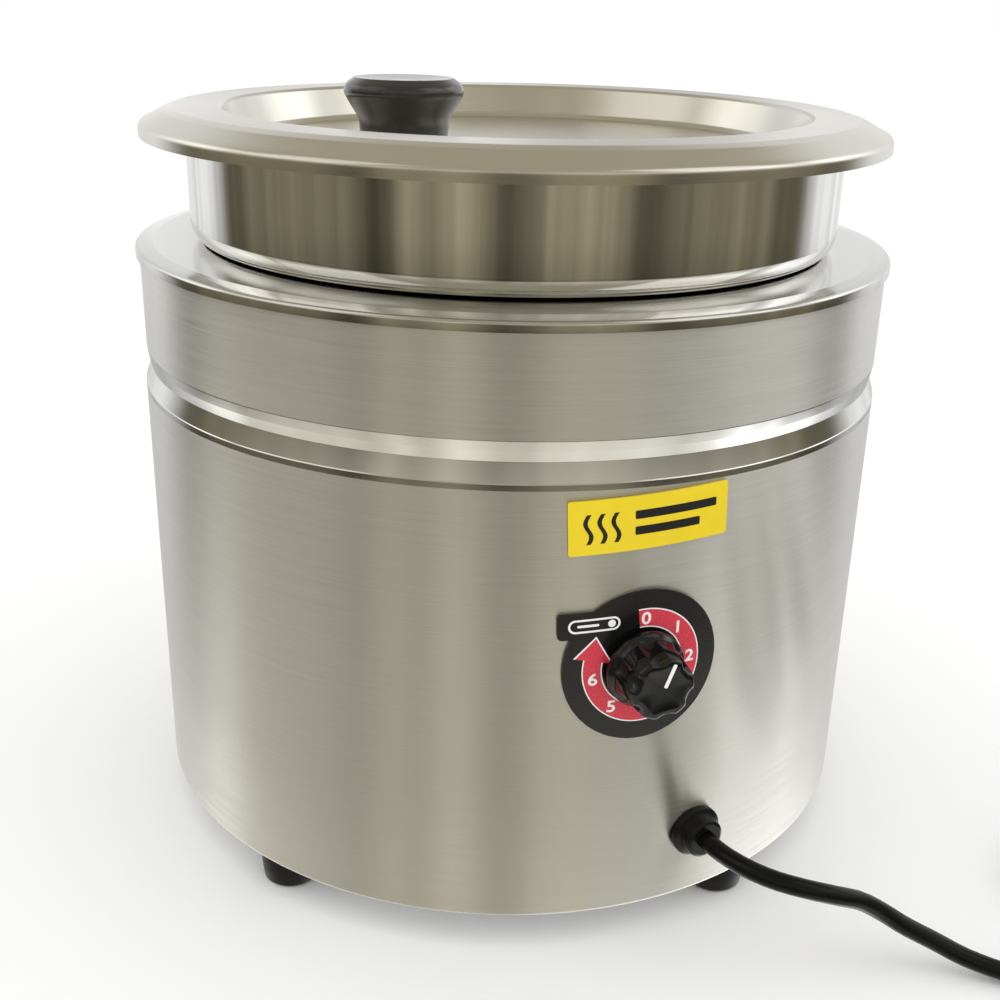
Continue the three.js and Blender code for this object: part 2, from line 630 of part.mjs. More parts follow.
function wiringParts() {
  const block = new THREE.BoxGeometry(
    TERMINAL_BLOCK.width,
    TERMINAL_BLOCK.depth,
    TERMINAL_BLOCK.height,
  );
  block.translate(TERMINAL_BLOCK.x, TERMINAL_BLOCK.y, (BLOCK_LOW + BLOCK_HIGH) / 2);
  const bodyLow = DIAL_HEIGHT - BODY.height / 2 - GAP;
  const bodyDepth = -(BODY_FRONT - BODY.depth / 2);
  const wireStart = BLOCK_HIGH + GAP;
  const barrelEnd = polar(DRUM_RADIUS + GAP - BUSHING.reach - GAP, LEAD_TURN, LEAD_HEIGHT);
  const blockFace = TERMINAL_BLOCK.y - TERMINAL_BLOCK.depth / 2 - GAP;
  const [firstEnd, lastEnd] = [FIRST_END, LAST_END].map(elementEnd);
  const cutoutLow = CLAMP_TOP - GAP;
  const bulbEnd = -BULB.half - GAP;
  const bulbLevel = WELL_UNDERSIDE - GAP - BULB.radius;
  const [slotX, slotY] = CAPILLARY_EXIT;
  const between = (CLAMP_LOW + SHIELD_TOP) / 2;
  const tail = [
    barrelEnd.toArray(),
    polar(DRUM_RADIUS - BUSHING.reach - 8, LEAD_TURN, LEAD_HEIGHT).toArray(),
    [TERMINAL_BLOCK.x, blockFace - 22, LEAD_HEIGHT - 8],
    [TERMINAL_BLOCK.x, blockFace - 7, BLOCK_LOW + 11],
    [TERMINAL_BLOCK.x, blockFace - GAP, BLOCK_LOW + 11],
  ];
  const capillary = [
    [bulbEnd, BULB.y, bulbLevel],
    [slotX + 2, BULB.y - 1, bulbLevel - 1],
    [slotX, slotY, CLAMP_TOP - 1],
    [slotX + 1, slotY - 8, between],
    [-28, -92, between],
    [-16, -124, between + 3],
    [-8, bodyDepth + 2, bodyLow - 16],
    [-6, bodyDepth, bodyLow],
  ];
  const wires = {
    lead_line: [
      [14, TERMINAL_BLOCK.y, wireStart],
      [14, TERMINAL_BLOCK.y, wireStart + 6],
      [12, -108, 38],
      [8, -142, 66],
      [6, bodyDepth, bodyLow - 8],
      [6, bodyDepth, bodyLow],
    ],
    lead_control: [
      [14, bodyDepth, bodyLow],
      [14, bodyDepth, bodyLow - 8],
      [22, -144, 70],
      [50, -112, 42],
      [firstEnd.x - 3, firstEnd.y - 26, firstEnd.z - 11],
      [firstEnd.x, firstEnd.y - 2, firstEnd.z - 9],
      [firstEnd.x, firstEnd.y, firstEnd.z - 2 * GAP],
    ],
    lead_neutral: [
      [30, TERMINAL_BLOCK.y, wireStart],
      [30, TERMINAL_BLOCK.y, wireStart + 6],
      [26, -72, 34],
      [14, -30, 34],
      [5, -4, 40],
      [4, 0, cutoutLow - 8],
      [4, 0, cutoutLow],
    ],
    lead_limit: [
      [-4, 0, cutoutLow],
      [-4, 0, cutoutLow - 8],
      [0, 5, 36],
      [20, 4, 28],
      [lastEnd.x - 16, lastEnd.y + 12, lastEnd.z - 14],
      [lastEnd.x, lastEnd.y, lastEnd.z - 7],
      [lastEnd.x, lastEnd.y, lastEnd.z - 2 * GAP],
    ],
    lead_earth: [
      [44, TERMINAL_BLOCK.y, wireStart],
      [44, TERMINAL_BLOCK.y, wireStart + 3],
      [57, TERMINAL_BLOCK.y, wireStart + 4],
      [EARTH.x - 1, EARTH.y, COVER_TOP + GAP + EARTH.height + 5],
      [EARTH.x, EARTH.y, COVER_TOP + GAP + EARTH.height + GAP],
    ],
  };
  const colours = { lead_line: redWire, lead_control: redWire, lead_earth: greenWire };
  const earth = disc(EARTH.radius, COVER_TOP + GAP, COVER_TOP + GAP + EARTH.height, TINY);
  return group(
    mesh("terminal_block", block, ceramic),
    placed(mesh("earth_stud", earth, brass), new THREE.Vector3(EARTH.x, EARTH.y, 0)),
    mesh("supply_tail", tube(tail, LEAD_RADIUS, 8, 8), lead),
    mesh("capillary_tube", tube(capillary, 1, 20, 6), copper),
    ...Object.entries(wires).map(([name, points]) =>
      mesh(name, tube(points, WIRE_RADIUS, 12, 6), colours[name] ?? white),
    ),
  );
}

// ---- Base and feet ------------------------------------------------------------------------------

function baseCover() {
  const { radius, drop } = COVER_PANEL;
  const line = [
    point(0, 0),
    point(radius, 0),
    point(radius + 1, drop),
    point(COVER_RADIUS, drop),
    point(COVER_RADIUS, COVER_TOP),
    point(radius + 1, COVER_TOP),
    point(radius, COVER_SHEET),
    point(0, COVER_SHEET),
  ];
  return cut(turned(line), FOOT_TURNS.map(footHole));
}

// A rubber foot with a sunk screw seat, hanging below z = 0.
function foot() {
  const seat = FOOT.head + 0.6;
  const seatLevel = -FOOT.height + 5;
  const bore = FOOT.screw + RUNNING;
  const sole = seat + 2.8;
  return turned(
    [
      point(bore, 0),
      point(FOOT.radius, 0),
      point(FOOT.radius - 0.4, -FOOT.height * 0.55),
      point(FOOT.radius - 2.4, -FOOT.height * 0.9),
      point(sole, -FOOT.height),
      point(seat, -FOOT.height),
      point(seat, seatLevel),
      point(bore, seatLevel),
    ],
    SMALL,
  );
}

function footParts() {
  const seatLevel = FLOOR_LEVEL + 5;
  const nutLow = DRUM_BOTTOM + SHEET + GAP;
  return FOOT_TURNS.flatMap((turn, i) => {
    const under = polar(FOOT_RING, turn, FOOT_TOP);
    const screwPlace = polar(FOOT_RING, turn, seatLevel - GAP);
    const nut = hexNut(FOOT.screw + RUNNING, 4.6, nutLow, nutLow + NUT_HEIGHT);
    const length = nutLow + NUT_HEIGHT + 1.5 - screwPlace.z;
    return [
      placed(mesh(`foot_${i + 1}`, foot(), rubber), under),
      placed(mesh(`foot_screw_${i + 1}`, screw(FOOT.screw, FOOT.head, 2.3, length), zinc), screwPlace),
      placed(mesh(`foot_nut_${i + 1}`, nut, zinc), polar(FOOT_RING, turn)),
    ];
  });
}

// ---- Mains lead ---------------------------------------------------------------------------------

const NOSE_END = DRUM_RADIUS + GAP + BUSHING.flangeThick + BUSHING.nose;

function cordBushing() {
  const seat = DRUM_RADIUS + GAP;
  const line = [
    point(0, seat - BUSHING.reach),
    point(BUSHING.barrel - 1, seat - BUSHING.reach),
    point(BUSHING.barrel, seat - BUSHING.reach + 3),
    point(BUSHING.barrel, seat),
    point(BUSHING.flange, seat),
    point(BUSHING.flange, seat + BUSHING.flangeThick - 1),
    point(BUSHING.flange - 1, seat + BUSHING.flangeThick),
    point(BUSHING.flange - 2.4, seat + BUSHING.flangeThick),
    point(BUSHING.flange - 3.2, NOSE_END),
    point(0, NOSE_END),
  ];
  return outOfWall(turned(line, SMALL), LEAD_TURN, LEAD_HEIGHT);
}

const coilOuter = COIL.mean + (COIL.columns / 2) * 2 * LEAD_RADIUS;
const coilInner = COIL.mean - (COIL.columns / 2) * 2 * LEAD_RADIUS;
const coilEdge = COIL.mean + (COIL.columns - 1) * LEAD_RADIUS;
const COIL_LOW = FLOOR_LEVEL + 0.1;
const COIL_HIGH = COIL_LOW + COIL.layers * 2 * LEAD_RADIUS;

// The lead leaves the bushing straight, bends to the right as it drops, and lies on the ground.
const exitPlace = polar(NOSE_END + GAP, LEAD_TURN, LEAD_HEIGHT);
const LEAD_ROUTE = [
  exitPlace.toArray(),
  [33.1, -179.6, 32.2],
  [38.2, -191.3, 32.1],
  [46, -200.3, 31.2],
  [56.1, -206.2, 29.3],
  [70.2, -209.3, 24.9],
  [80.5, -209.2, 20.3],
  [92.3, -209.5, 12],
  [100.8, -212.1, 5.9],
  [113.4, -217.1, -1.2],
  [123, -222.8, -6.1],
  [134.6, -230.9, -9.2],
  [147, -240, LEAD_FLOOR],
  [162, -249.2, LEAD_FLOOR],
  [178, -256.4, LEAD_FLOOR],
  [193, -260.5, LEAD_FLOOR],
  [COIL.x - 28.6, COIL.y - coilEdge, LEAD_FLOOR],
];

function coilTie() {
  const strap = { width: 7, thick: 1.4 };
  const reach = coilOuter - coilInner + 2 * (strap.thick + GAP + 0.3);
  const high = COIL_HIGH - FLOOR_LEVEL + GAP + strap.thick;
  const outer = new THREE.BoxGeometry(reach, strap.width, high);
  outer.translate(COIL.mean, 0, FLOOR_LEVEL + high / 2);
  const inner = new THREE.BoxGeometry(reach - 2 * strap.thick, strap.width + 2, high);
  inner.translate(COIL.mean, 0, FLOOR_LEVEL + high / 2 - strap.thick);
  return cut(outer, [inner]).rotateZ(radians(150));
}

// Lies along +Y from its lead end.
function plugParts() {
  const level = FLOOR_LEVEL + PLUG.height / 2;
  const bodyStart = PLUG.relief;
  const bodyEnd = PLUG.relief + PLUG.body;
  const relief = new THREE.CylinderGeometry(7, 4.4, PLUG.relief + 1, TINY);
  relief.translate(0, PLUG.relief / 2 + 0.5, 0);
  const half = { x: PLUG.width / 2, z: PLUG.height / 2 };
  const outline = roundedBox(-half.x, half.x, -half.z, half.z, 7);
  const body = new THREE.ExtrudeGeometry(outline, { depth: PLUG.body, bevelEnabled: false });
  body.rotateX(-Math.PI / 2).translate(0, bodyStart, 0);
  const blade = (x) =>
    new THREE.BoxGeometry(1.5, PLUG.blade, 6.3).translate(x, bodyEnd + GAP + PLUG.blade / 2, 2.4);
  const pin = new THREE.CylinderGeometry(2.4, 2.4, PLUG.pin, TINY);
  pin.translate(0, bodyEnd + GAP + PLUG.pin / 2, -5.5);
  const plug = group(
    mesh("plug_body", joined(relief, body), lead),
    mesh("plug_blade_1", blade(-6.35), brass),
    mesh("plug_blade_2", blade(6.35), brass),
    mesh("plug_earth_pin", pin, brass),
  );
  plug.position.set(COIL.x + coilEdge, COIL.y + 29, level);
  return plug;
}

function leadParts() {
  const coil = placed(
    group(
      mesh("cord_coil", washerRing(coilInner, coilOuter, COIL_LOW, COIL_HIGH, 32), lead),
      mesh("coil_tie", coilTie(), rubber),
    ),
    new THREE.Vector3(COIL.x, COIL.y, 0),
  );
  return group(
    mesh("cord_bushing", cordBushing(), nylon),
    mesh("power_cord", tube(LEAD_ROUTE, LEAD_RADIUS, 20, 8), lead),
    coil,
    plugParts(),
  );
}

// ---- Assembly -----------------------------------------------------------------------------------

const kettle = group(
  mesh("outer_shell", outerShell(), brushed),
  mesh("well_pan", wellPan(), satin),
  mesh("inset_pot", insetPot(), polished),
  lidParts(),
  mesh("dial_plate", dialPlate(), printed),
  mesh("heat_label", heatLabel(), yellow),
  thermostatParts(),
  heaterParts(),
  mesh("insulation_ring", insulationRing(), wool),
  wiringParts(),
  mesh("base_cover", baseCover(), zinc),
  ...footParts(),
  leadParts(),
);

export default kettle;
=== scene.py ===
"""Electric soup kettle: the visual model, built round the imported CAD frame.

Metres, +Z up, dial towards -Y.
"""

import json
import math

import bmesh
import bpy
from mathutils import Matrix, Vector


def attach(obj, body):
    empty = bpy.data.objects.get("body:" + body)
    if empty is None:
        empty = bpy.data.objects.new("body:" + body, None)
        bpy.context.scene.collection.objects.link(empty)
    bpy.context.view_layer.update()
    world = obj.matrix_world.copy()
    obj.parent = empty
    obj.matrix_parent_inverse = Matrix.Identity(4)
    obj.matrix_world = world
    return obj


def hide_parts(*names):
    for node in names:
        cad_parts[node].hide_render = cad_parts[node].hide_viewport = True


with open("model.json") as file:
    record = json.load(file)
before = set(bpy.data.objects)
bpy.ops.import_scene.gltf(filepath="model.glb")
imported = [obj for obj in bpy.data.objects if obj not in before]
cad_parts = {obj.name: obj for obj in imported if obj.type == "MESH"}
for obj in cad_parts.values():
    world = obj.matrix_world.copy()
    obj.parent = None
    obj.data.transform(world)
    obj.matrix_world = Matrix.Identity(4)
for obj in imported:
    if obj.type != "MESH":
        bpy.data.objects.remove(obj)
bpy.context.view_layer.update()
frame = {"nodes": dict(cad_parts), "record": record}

MM = 0.001
SCENE = bpy.context.scene

# ---- Sizes, in millimetres ----------------------------------------------------------------------

SHEET = 1.2
LID_SHEET = 1.0
DRUM_RADIUS = 165.0
BAND_RADIUS = 163.8
RIM_RADIUS = 165.4
WELL_RADIUS = 134.5
WELL_FLOOR = 72.0
POT_RADIUS = 142.0
POT_BODY = 131.0
POT_FLOOR = 82.0
LID_RADIUS = 160.6
LID_TOP = 302.9
DISH_FLOOR = 287.6
FLOOR_LEVEL = -14.0
DIAL_HEIGHT = 114.2
LEAD_RADIUS = 3.8
LEAD_TURN = 10.4
LEAD_HEIGHT = 32.2
WALL_GAP = 0.3  # between the drum and what sits on it
BUSHING_FLANGE = 3.0
BUSHING_NOSE = 5.7
FOOT_RING = 149.0
FOOT_TURNS = (-56.0, 21.4, 124.0, 201.4)
KNOB_OFFSET = 49.0
KNOB_TURN = -108.6
POINTER_ANGLE = 69.0
LABEL = {"width": 62.8, "height": 21.1, "centre": 173.3, "tilt": 2.7}

# ---- Camera -------------------------------------------------------------------------------------

CAMERA_PLACE = Vector((-0.1888, -0.5615, 0.3523))
CAMERA_HEADING = 18.29  # degrees from +Y towards +X
CAMERA_PITCH = 21.616  # degrees below the horizon
CAMERA_ROLL = 1.313
CAMERA_LENS = 46.857
CAMERA_TURN = 18.58  # from the dial's side round to the camera's


def make_camera():
    heading, pitch, roll = map(math.radians, (CAMERA_HEADING, CAMERA_PITCH, CAMERA_ROLL))
    ahead = Vector((math.sin(heading), math.cos(heading), 0))
    level_right = Vector((math.cos(heading), -math.sin(heading), 0))
    forward = ahead * math.cos(pitch) - Vector((0, 0, math.sin(pitch)))
    level_up = level_right.cross(forward)
    right = level_right * math.cos(roll) + level_up * math.sin(roll)
    up = right.cross(forward)
    data = bpy.data.cameras.new("camera")
    data.sensor_width = 36
    data.lens = CAMERA_LENS
    data.clip_start = 0.01
    data.clip_end = 50
    camera = bpy.data.objects.new("camera", data)
    camera.matrix_world = Matrix.Translation(CAMERA_PLACE) @ Matrix(
        (right, up, -forward)
    ).transposed().to_4x4()
    SCENE.collection.objects.link(camera)
    SCENE.camera = camera


make_camera()

# ---- Material helpers ---------------------------------------------------------------------------


class Look:
    """A node material with one Principled shader, and short calls for the nodes that feed it."""

    def __init__(self, name, color, roughness, metallic=0.0, **sockets):
        self.material = bpy.data.materials.new(name)
        self.material.use_nodes = True
        self.tree = self.material.node_tree
        self.shader = self.tree.nodes["Principled BSDF"]
        self.set("Base Color", (*color, 1.0))
        self.set("Roughness", roughness)
        self.set("Metallic", metallic)
        for socket, value in sockets.items():
            self.set(socket.replace("_", " "), value)
        self.coordinates = self.node("ShaderNodeTexCoord").outputs["Object"]

    def set(self, socket, value):
        self.shader.inputs[socket].default_value = value

    def node(self, kind, **settings):
        made = self.tree.nodes.new(kind)
        for name, value in settings.items():
            setattr(made, name, value)
        return made

    def link(self, source, target):
        self.tree.links.new(source, target)
        return source

    def math(self, operation, *values):
        made = self.node("ShaderNodeMath", operation=operation)
        for socket, value in zip(made.inputs, values):
            if isinstance(value, (int, float)):
                socket.default_value = value
            else:
                self.link(value, socket)
        return made.outputs[0]

    def stretched(self, scale):
        mapping = self.node("ShaderNodeMapping")
        mapping.inputs["Scale"].default_value = scale
        self.link(self.coordinates, mapping.inputs["Vector"])
        return mapping.outputs[0]

    def turned_lines(self, across, along):
        """Coordinates whose noise makes fine lines round the Z axis, on walls and on flat tops."""
        split = self.node("ShaderNodeSeparateXYZ")
        self.link(self.coordinates, split.inputs[0])
        x, y, z = split.outputs
        squares = self.math("ADD", self.math("MULTIPLY", x, x), self.math("MULTIPLY", y, y))
        radius = self.math("SQRT", squares)
        joined = self.node("ShaderNodeCombineXYZ")
        self.link(self.math("MULTIPLY", x, along), joined.inputs[0])
        self.link(self.math("MULTIPLY", y, along), joined.inputs[1])
        self.link(self.math("MULTIPLY", self.math("SUBTRACT", z, radius), across), joined.inputs[2])
        return joined.outputs[0]

    def noise(self, vector, scale=1.0, detail=3.0, roughness=0.55):
        made = self.node("ShaderNodeTexNoise")
        made.inputs["Scale"].default_value = scale
        made.inputs["Detail"].default_value = detail
        made.inputs["Roughness"].default_value = roughness
        self.link(vector, made.inputs["Vector"])
        return made.outputs["Fac"]

    def remap(self, value, low, high, start=0.3, end=0.7):
        made = self.node("ShaderNodeMapRange")
        for name, number in (("From Min", start), ("From Max", end), ("To Min", low), ("To Max", high)):
            made.inputs[name].default_value = number
        self.link(value, made.inputs["Value"])
        return made.outputs[0]

    def shade(self, factor, dark, light):
        """Base colour between two colours by a factor from 0 to 1."""
        made = self.node("ShaderNodeMix", data_type="RGBA")
        made.inputs[6].default_value = (*dark, 1.0)
        made.inputs[7].default_value = (*light, 1.0)
        self.link(factor, made.inputs[0])
        self.link(made.outputs[2], self.shader.inputs["Base Color"])
        return made.outputs[2]

    def bump(self, height, strength, distance):
        made = self.node("ShaderNodeBump")
        made.inputs["Strength"].default_value = strength
        made.inputs["Distance"].default_value = distance
        self.link(height, made.inputs["Height"])
        self.link(made.outputs[0], self.shader.inputs["Normal"])

    def rough(self, value):
        self.link(value, self.shader.inputs["Roughness"])


def tinted(color, factor):
    return tuple(min(1.0, c * factor) for c in color)


def turned_steel(name, color, roughness, anisotropy, grain=1.0, turn=0.25, metallic=1.0):
    """Steel brushed or spun round the Z axis: fine lines, slow patches and a few soft smears."""
    look = Look(name, color, roughness, metallic)
    fine = look.noise(look.turned_lines(3200.0, 38.0), 1.0, 3.0, 0.65)
    long_lines = look.noise(look.turned_lines(1500.0, 11.0), 1.0, 2.0)
    patches = look.noise(look.stretched((7.0, 7.0, 9.0)), 1.0, 3.0)
    mixed = look.math("ADD", look.math("MULTIPLY", fine, 0.6), look.math("MULTIPLY", long_lines, 0.4))
    dark, light = tinted(color, 1 - 0.07 * grain), tinted(color, 1 + 0.05 * grain)
    look.shade(look.remap(mixed, 0.0, 1.0), dark, light)
    lines = look.remap(mixed, -0.05 * grain, 0.05 * grain)
    spread = look.math("ADD", lines, look.remap(patches, -0.02, 0.03))
    look.rough(look.math("ADD", spread, roughness))
    look.set("Anisotropic", anisotropy)
    look.set("Anisotropic Rotation", turn)
    tangent = look.node("ShaderNodeTangent", direction_type="RADIAL", axis="Z")
    look.link(tangent.outputs[0], look.shader.inputs["Tangent"])
    look.bump(fine, 0.10 * grain, 0.00006)
    return look.material


def moulded(name, color, roughness, texture=0.00004, scale=900.0, **sockets):
    """Moulded plastic or rubber: a fine skin, a slow change of gloss and a little dust on it."""
    look = Look(name, color, roughness, **sockets)
    skin = look.noise(look.stretched((scale,) * 3), 1.0, 2.0)
    slow = look.noise(look.stretched((38.0,) * 3), 1.0, 4.0)
    look.shade(look.remap(slow, 0.0, 1.0), tinted(color, 0.85), tinted(color, 1.25))
    look.rough(look.math("ADD", look.remap(slow, -0.05, 0.06), roughness))
    look.bump(skin, 0.25, texture)
    return look.material


def plain_metal(name, color, roughness):
    look = Look(name, color, roughness, 1.0)
    slow = look.noise(look.stretched((60.0,) * 3), 1.0, 4.0)
    fine = look.noise(look.stretched((420.0, 420.0, 420.0)), 1.0, 3.0)
    look.shade(look.remap(slow, 0.0, 1.0), tinted(color, 0.88), tinted(color, 1.06))
    look.rough(look.math("ADD", look.remap(fine, -0.06, 0.08), roughness))
    look.bump(fine, 0.12, 0.00004)
    return look.material


def printed_sheet(name, color, roughness):
    look = Look(name, color, roughness, Coat_Weight=0.25, Coat_Roughness=0.12)
    slow = look.noise(look.stretched((30.0,) * 3), 1.0, 3.0)
    fine = look.noise(look.stretched((1500.0,) * 3), 1.0, 2.0)
    look.shade(look.remap(slow, 0.0, 1.0), tinted(color, 0.95), tinted(color, 1.04))
    look.rough(look.math("ADD", look.remap(fine, -0.04, 0.05), roughness))
    look.bump(fine, 0.08, 0.00003)
    return look.material


def fibrous(name, color):
    look = Look(name, color, 0.95)
    fibres = look.noise(look.stretched((260.0, 260.0, 900.0)), 1.0, 6.0, 0.75)
    look.shade(look.remap(fibres, 0.0, 1.0), tinted(color, 0.7), tinted(color, 1.1))
    look.bump(fibres, 0.7, 0.0006)
    return look.material


STEEL = (0.80, 0.79, 0.755)
LOOKS = {
    "drum": turned_steel("drum_steel", STEEL, 0.37, 0.96, 1.2),
    "deck": turned_steel("deck_steel", (0.70, 0.695, 0.68), 0.13, 0.3, 0.6),
    "groove": turned_steel("groove_steel", (0.80, 0.795, 0.78), 0.16, 0.3, 0.4),
    "pot": turned_steel("pot_steel", (0.83, 0.825, 0.80), 0.03, 0.3, 0.2),
    "inside": turned_steel("inside_steel", (0.74, 0.73, 0.70), 0.34, 0.5, 0.9, metallic=0.55),
    "lid": turned_steel("lid_steel", (0.76, 0.742, 0.685), 0.24, 0.45, 0.4),
    "zinc": plain_metal("plated_steel", (0.60, 0.61, 0.63), 0.38),
    "brass": plain_metal("brass", (0.72, 0.55, 0.25), 0.28),
    "copper": plain_metal("copper", (0.72, 0.40, 0.24), 0.3),
    "phenolic": moulded(
        "phenolic", (0.013, 0.013, 0.015), 0.26, 0.00002, Coat_Weight=0.7, Coat_Roughness=0.10
    ),
    "gloss": moulded("black_gloss", (0.005, 0.005, 0.006), 0.06, 0.000004, 120.0),
    "nylon": moulded("black_nylon", (0.006, 0.006, 0.007), 0.28, Specular_IOR_Level=0.25),
    "rubber": moulded("black_rubber", (0.008, 0.008, 0.009), 0.5, 0.00010, 700.0, Specular_IOR_Level=0.2),
    "jacket": moulded("cord_jacket", (0.005, 0.005, 0.006), 0.24, 0.00003, 600.0, Specular_IOR_Level=0.2),
    "ceramic": moulded("ceramic", (0.80, 0.77, 0.68), 0.55),
    "dial": printed_sheet("dial_print", (0.006, 0.006, 0.007), 0.24),
    "red": printed_sheet("dial_red", (0.62, 0.03, 0.055), 0.28),
    "white": printed_sheet("white_print", (0.85, 0.84, 0.82), 0.35),
    "yellow": printed_sheet("yellow_label", (0.80, 0.60, 0.0), 0.36),
    "ink": printed_sheet("label_ink", (0.012, 0.012, 0.012), 0.32),
    "wool": fibrous("mineral_wool", (0.72, 0.66, 0.50)),
    "wire_red": moulded("wire_red", (0.45, 0.04, 0.03), 0.5),
    "wire_white": moulded("wire_white", (0.80, 0.79, 0.76), 0.5),
    "wire_green": moulded("wire_green", (0.05, 0.32, 0.09), 0.5),
}

# ---- Geometry helpers ---------------------------------------------------------------------------

FINE = 288  # sides of a large turned piece
MEDIUM = 96
SMOOTH_ANGLE = math.radians(32)


def arc(cx, cz, radius, start, end, steps):
    """Points of an arc between two angles in degrees."""
    return [
        (
            cx + radius * math.cos(math.radians(start + (end - start) * i / steps)),
            cz + radius * math.sin(math.radians(start + (end - start) * i / steps)),
        )
        for i in range(steps + 1)
    ]


def filleted(corners, steps=6):
    """A line through (radius, height, fillet) corners, each rounded by its own fillet."""
    line = []
    for i, (x, z, fillet) in enumerate(corners):
        if fillet == 0 or i in (0, len(corners) - 1):
            line.append((x, z))
            continue
        here = Vector((x, z))
        back = Vector(corners[i - 1][:2]) - here
        ahead = Vector(corners[i + 1][:2]) - here
        half = back.angle(ahead) / 2
        reach = min(fillet / math.tan(half), 0.49 * back.length, 0.49 * ahead.length)
        radius = reach * math.tan(half)
        centre = here + (back.normalized() + ahead.normalized()).normalized() * (radius / math.sin(half))
        start = (here + back.normalized() * reach) - centre
        end = (here + ahead.normalized() * reach) - centre
        first = math.atan2(start.y, start.x)
        turn = (math.atan2(end.y, end.x) - first + math.pi) % (2 * math.pi) - math.pi
        for k in range(steps + 1):
            angle = first + turn * k / steps
            line.append((centre.x + radius * math.cos(angle), centre.y + radius * math.sin(angle)))
    return line


def offset(line, distance):
    """The line moved to its left."""
    points = [Vector(p) for p in line]
    normals = []
    for a, b in zip(points, points[1:]):
        way = (b - a).normalized()
        normals.append(Vector((-way.y, way.x)))
    shifted = []
    for i, p in enumerate(points):
        before = normals[max(i - 1, 0)]
        after = normals[min(i, len(normals) - 1)]
        mitre = (before + after).normalized()
        q = p + mitre * (distance / max(0.3, mitre.dot(after)))
        shifted.append((max(q.x, 0.0), q.y))
    return shifted


def closed_sheet(line, thickness):
    """A loop with the line on one side and the sheet's other face on its left."""
    return [*line, *reversed(offset(line, thickness))]


def mesh_object(name, vertices, faces, look, angle=SMOOTH_ANGLE):
    mesh = bpy.data.meshes.new(name)
    mesh.from_pydata([tuple(c * MM for c in v) for v in vertices], [], faces)
    mesh.update()
    mesh.materials.append(LOOKS[look])
    made = bpy.data.objects.new(name, mesh)
    SCENE.collection.objects.link(made)
    mesh.shade_smooth()
    mesh.set_sharp_from_angle(angle=angle)
    return made


def lathe(name, section, look, sides=FINE, loop=False):
    """A closed solid of revolution. The section runs from axis to axis, or closes on itself."""
    vertices, rings = [], []
    for radius, height in section:
        if radius < 1e-6:
            rings.append([len(vertices)] * sides)
            vertices.append((0.0, 0.0, height))
            continue
        rings.append(list(range(len(vertices), len(vertices) + sides)))
        for k in range(sides):
            angle = 2 * math.pi * k / sides
            vertices.append((radius * math.cos(angle), radius * math.sin(angle), height))
    pairs = list(zip(rings, rings[1:]))
    if loop:
        pairs.append((rings[-1], rings[0]))
    faces = []
    for low, high in pairs:
        for k in range(sides):
            n = (k + 1) % sides
            face = [low[k], low[n], high[n], high[k]]
            distinct = list(dict.fromkeys(face))
            if len(distinct) > 2:
                faces.append(distinct)
    made = mesh_object(name, vertices, faces, look)
    outward(made)
    return made


def outward(made):
    """Turns every face of a closed mesh to look out."""
    work = bmesh.new()
    work.from_mesh(made.data)
    bmesh.ops.recalc_face_normals(work, faces=work.faces)
    if work.calc_volume(signed=True) < 0:
        bmesh.ops.reverse_faces(work, faces=work.faces)
    work.to_mesh(made.data)
    work.free()


def polar(radius, turn, height=0.0):
    """The place at a radius and azimuth, in millimetres, measured from -Y towards +X."""
    angle = math.radians(turn)
    return Vector((radius * math.sin(angle), -radius * math.cos(angle), height))


def wall_frame(turn, height):
    """Turns a piece made along +Z, with +Y up the wall, to point out of the drum at a place."""
    return (
        Matrix.Translation((0, 0, height * MM))
        @ Matrix.Rotation(math.radians(turn), 4, "Z")
        @ Matrix.Rotation(math.radians(90), 4, "X")
    )


def moved(made, matrix):
    made.data.transform(matrix)
    return made


def stands_for(made, body, slot, *nodes):
    """Puts a finished piece on its body, in the place of the CAD nodes."""
    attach(made, body)
    if nodes:
        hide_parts(*nodes)
    return made


def tube(name, points, radius, look, sides=16):
    """A curve with a round bevel, through points in millimetres."""
    data = bpy.data.curves.new(name, "CURVE")
    data.dimensions = "3D"
    data.bevel_depth = radius * MM
    data.bevel_resolution = sides // 4
    data.use_fill_caps = True
    data.materials.append(LOOKS[look])
    spline = data.splines.new("POLY")
    spline.points.add(len(points) - 1)
    for slot, place in zip(spline.points, points):
        slot.co = (*(c * MM for c in place), 1.0)
    spline.use_smooth = True
    made = bpy.data.objects.new(name, data)
    SCENE.collection.objects.link(made)
    return made


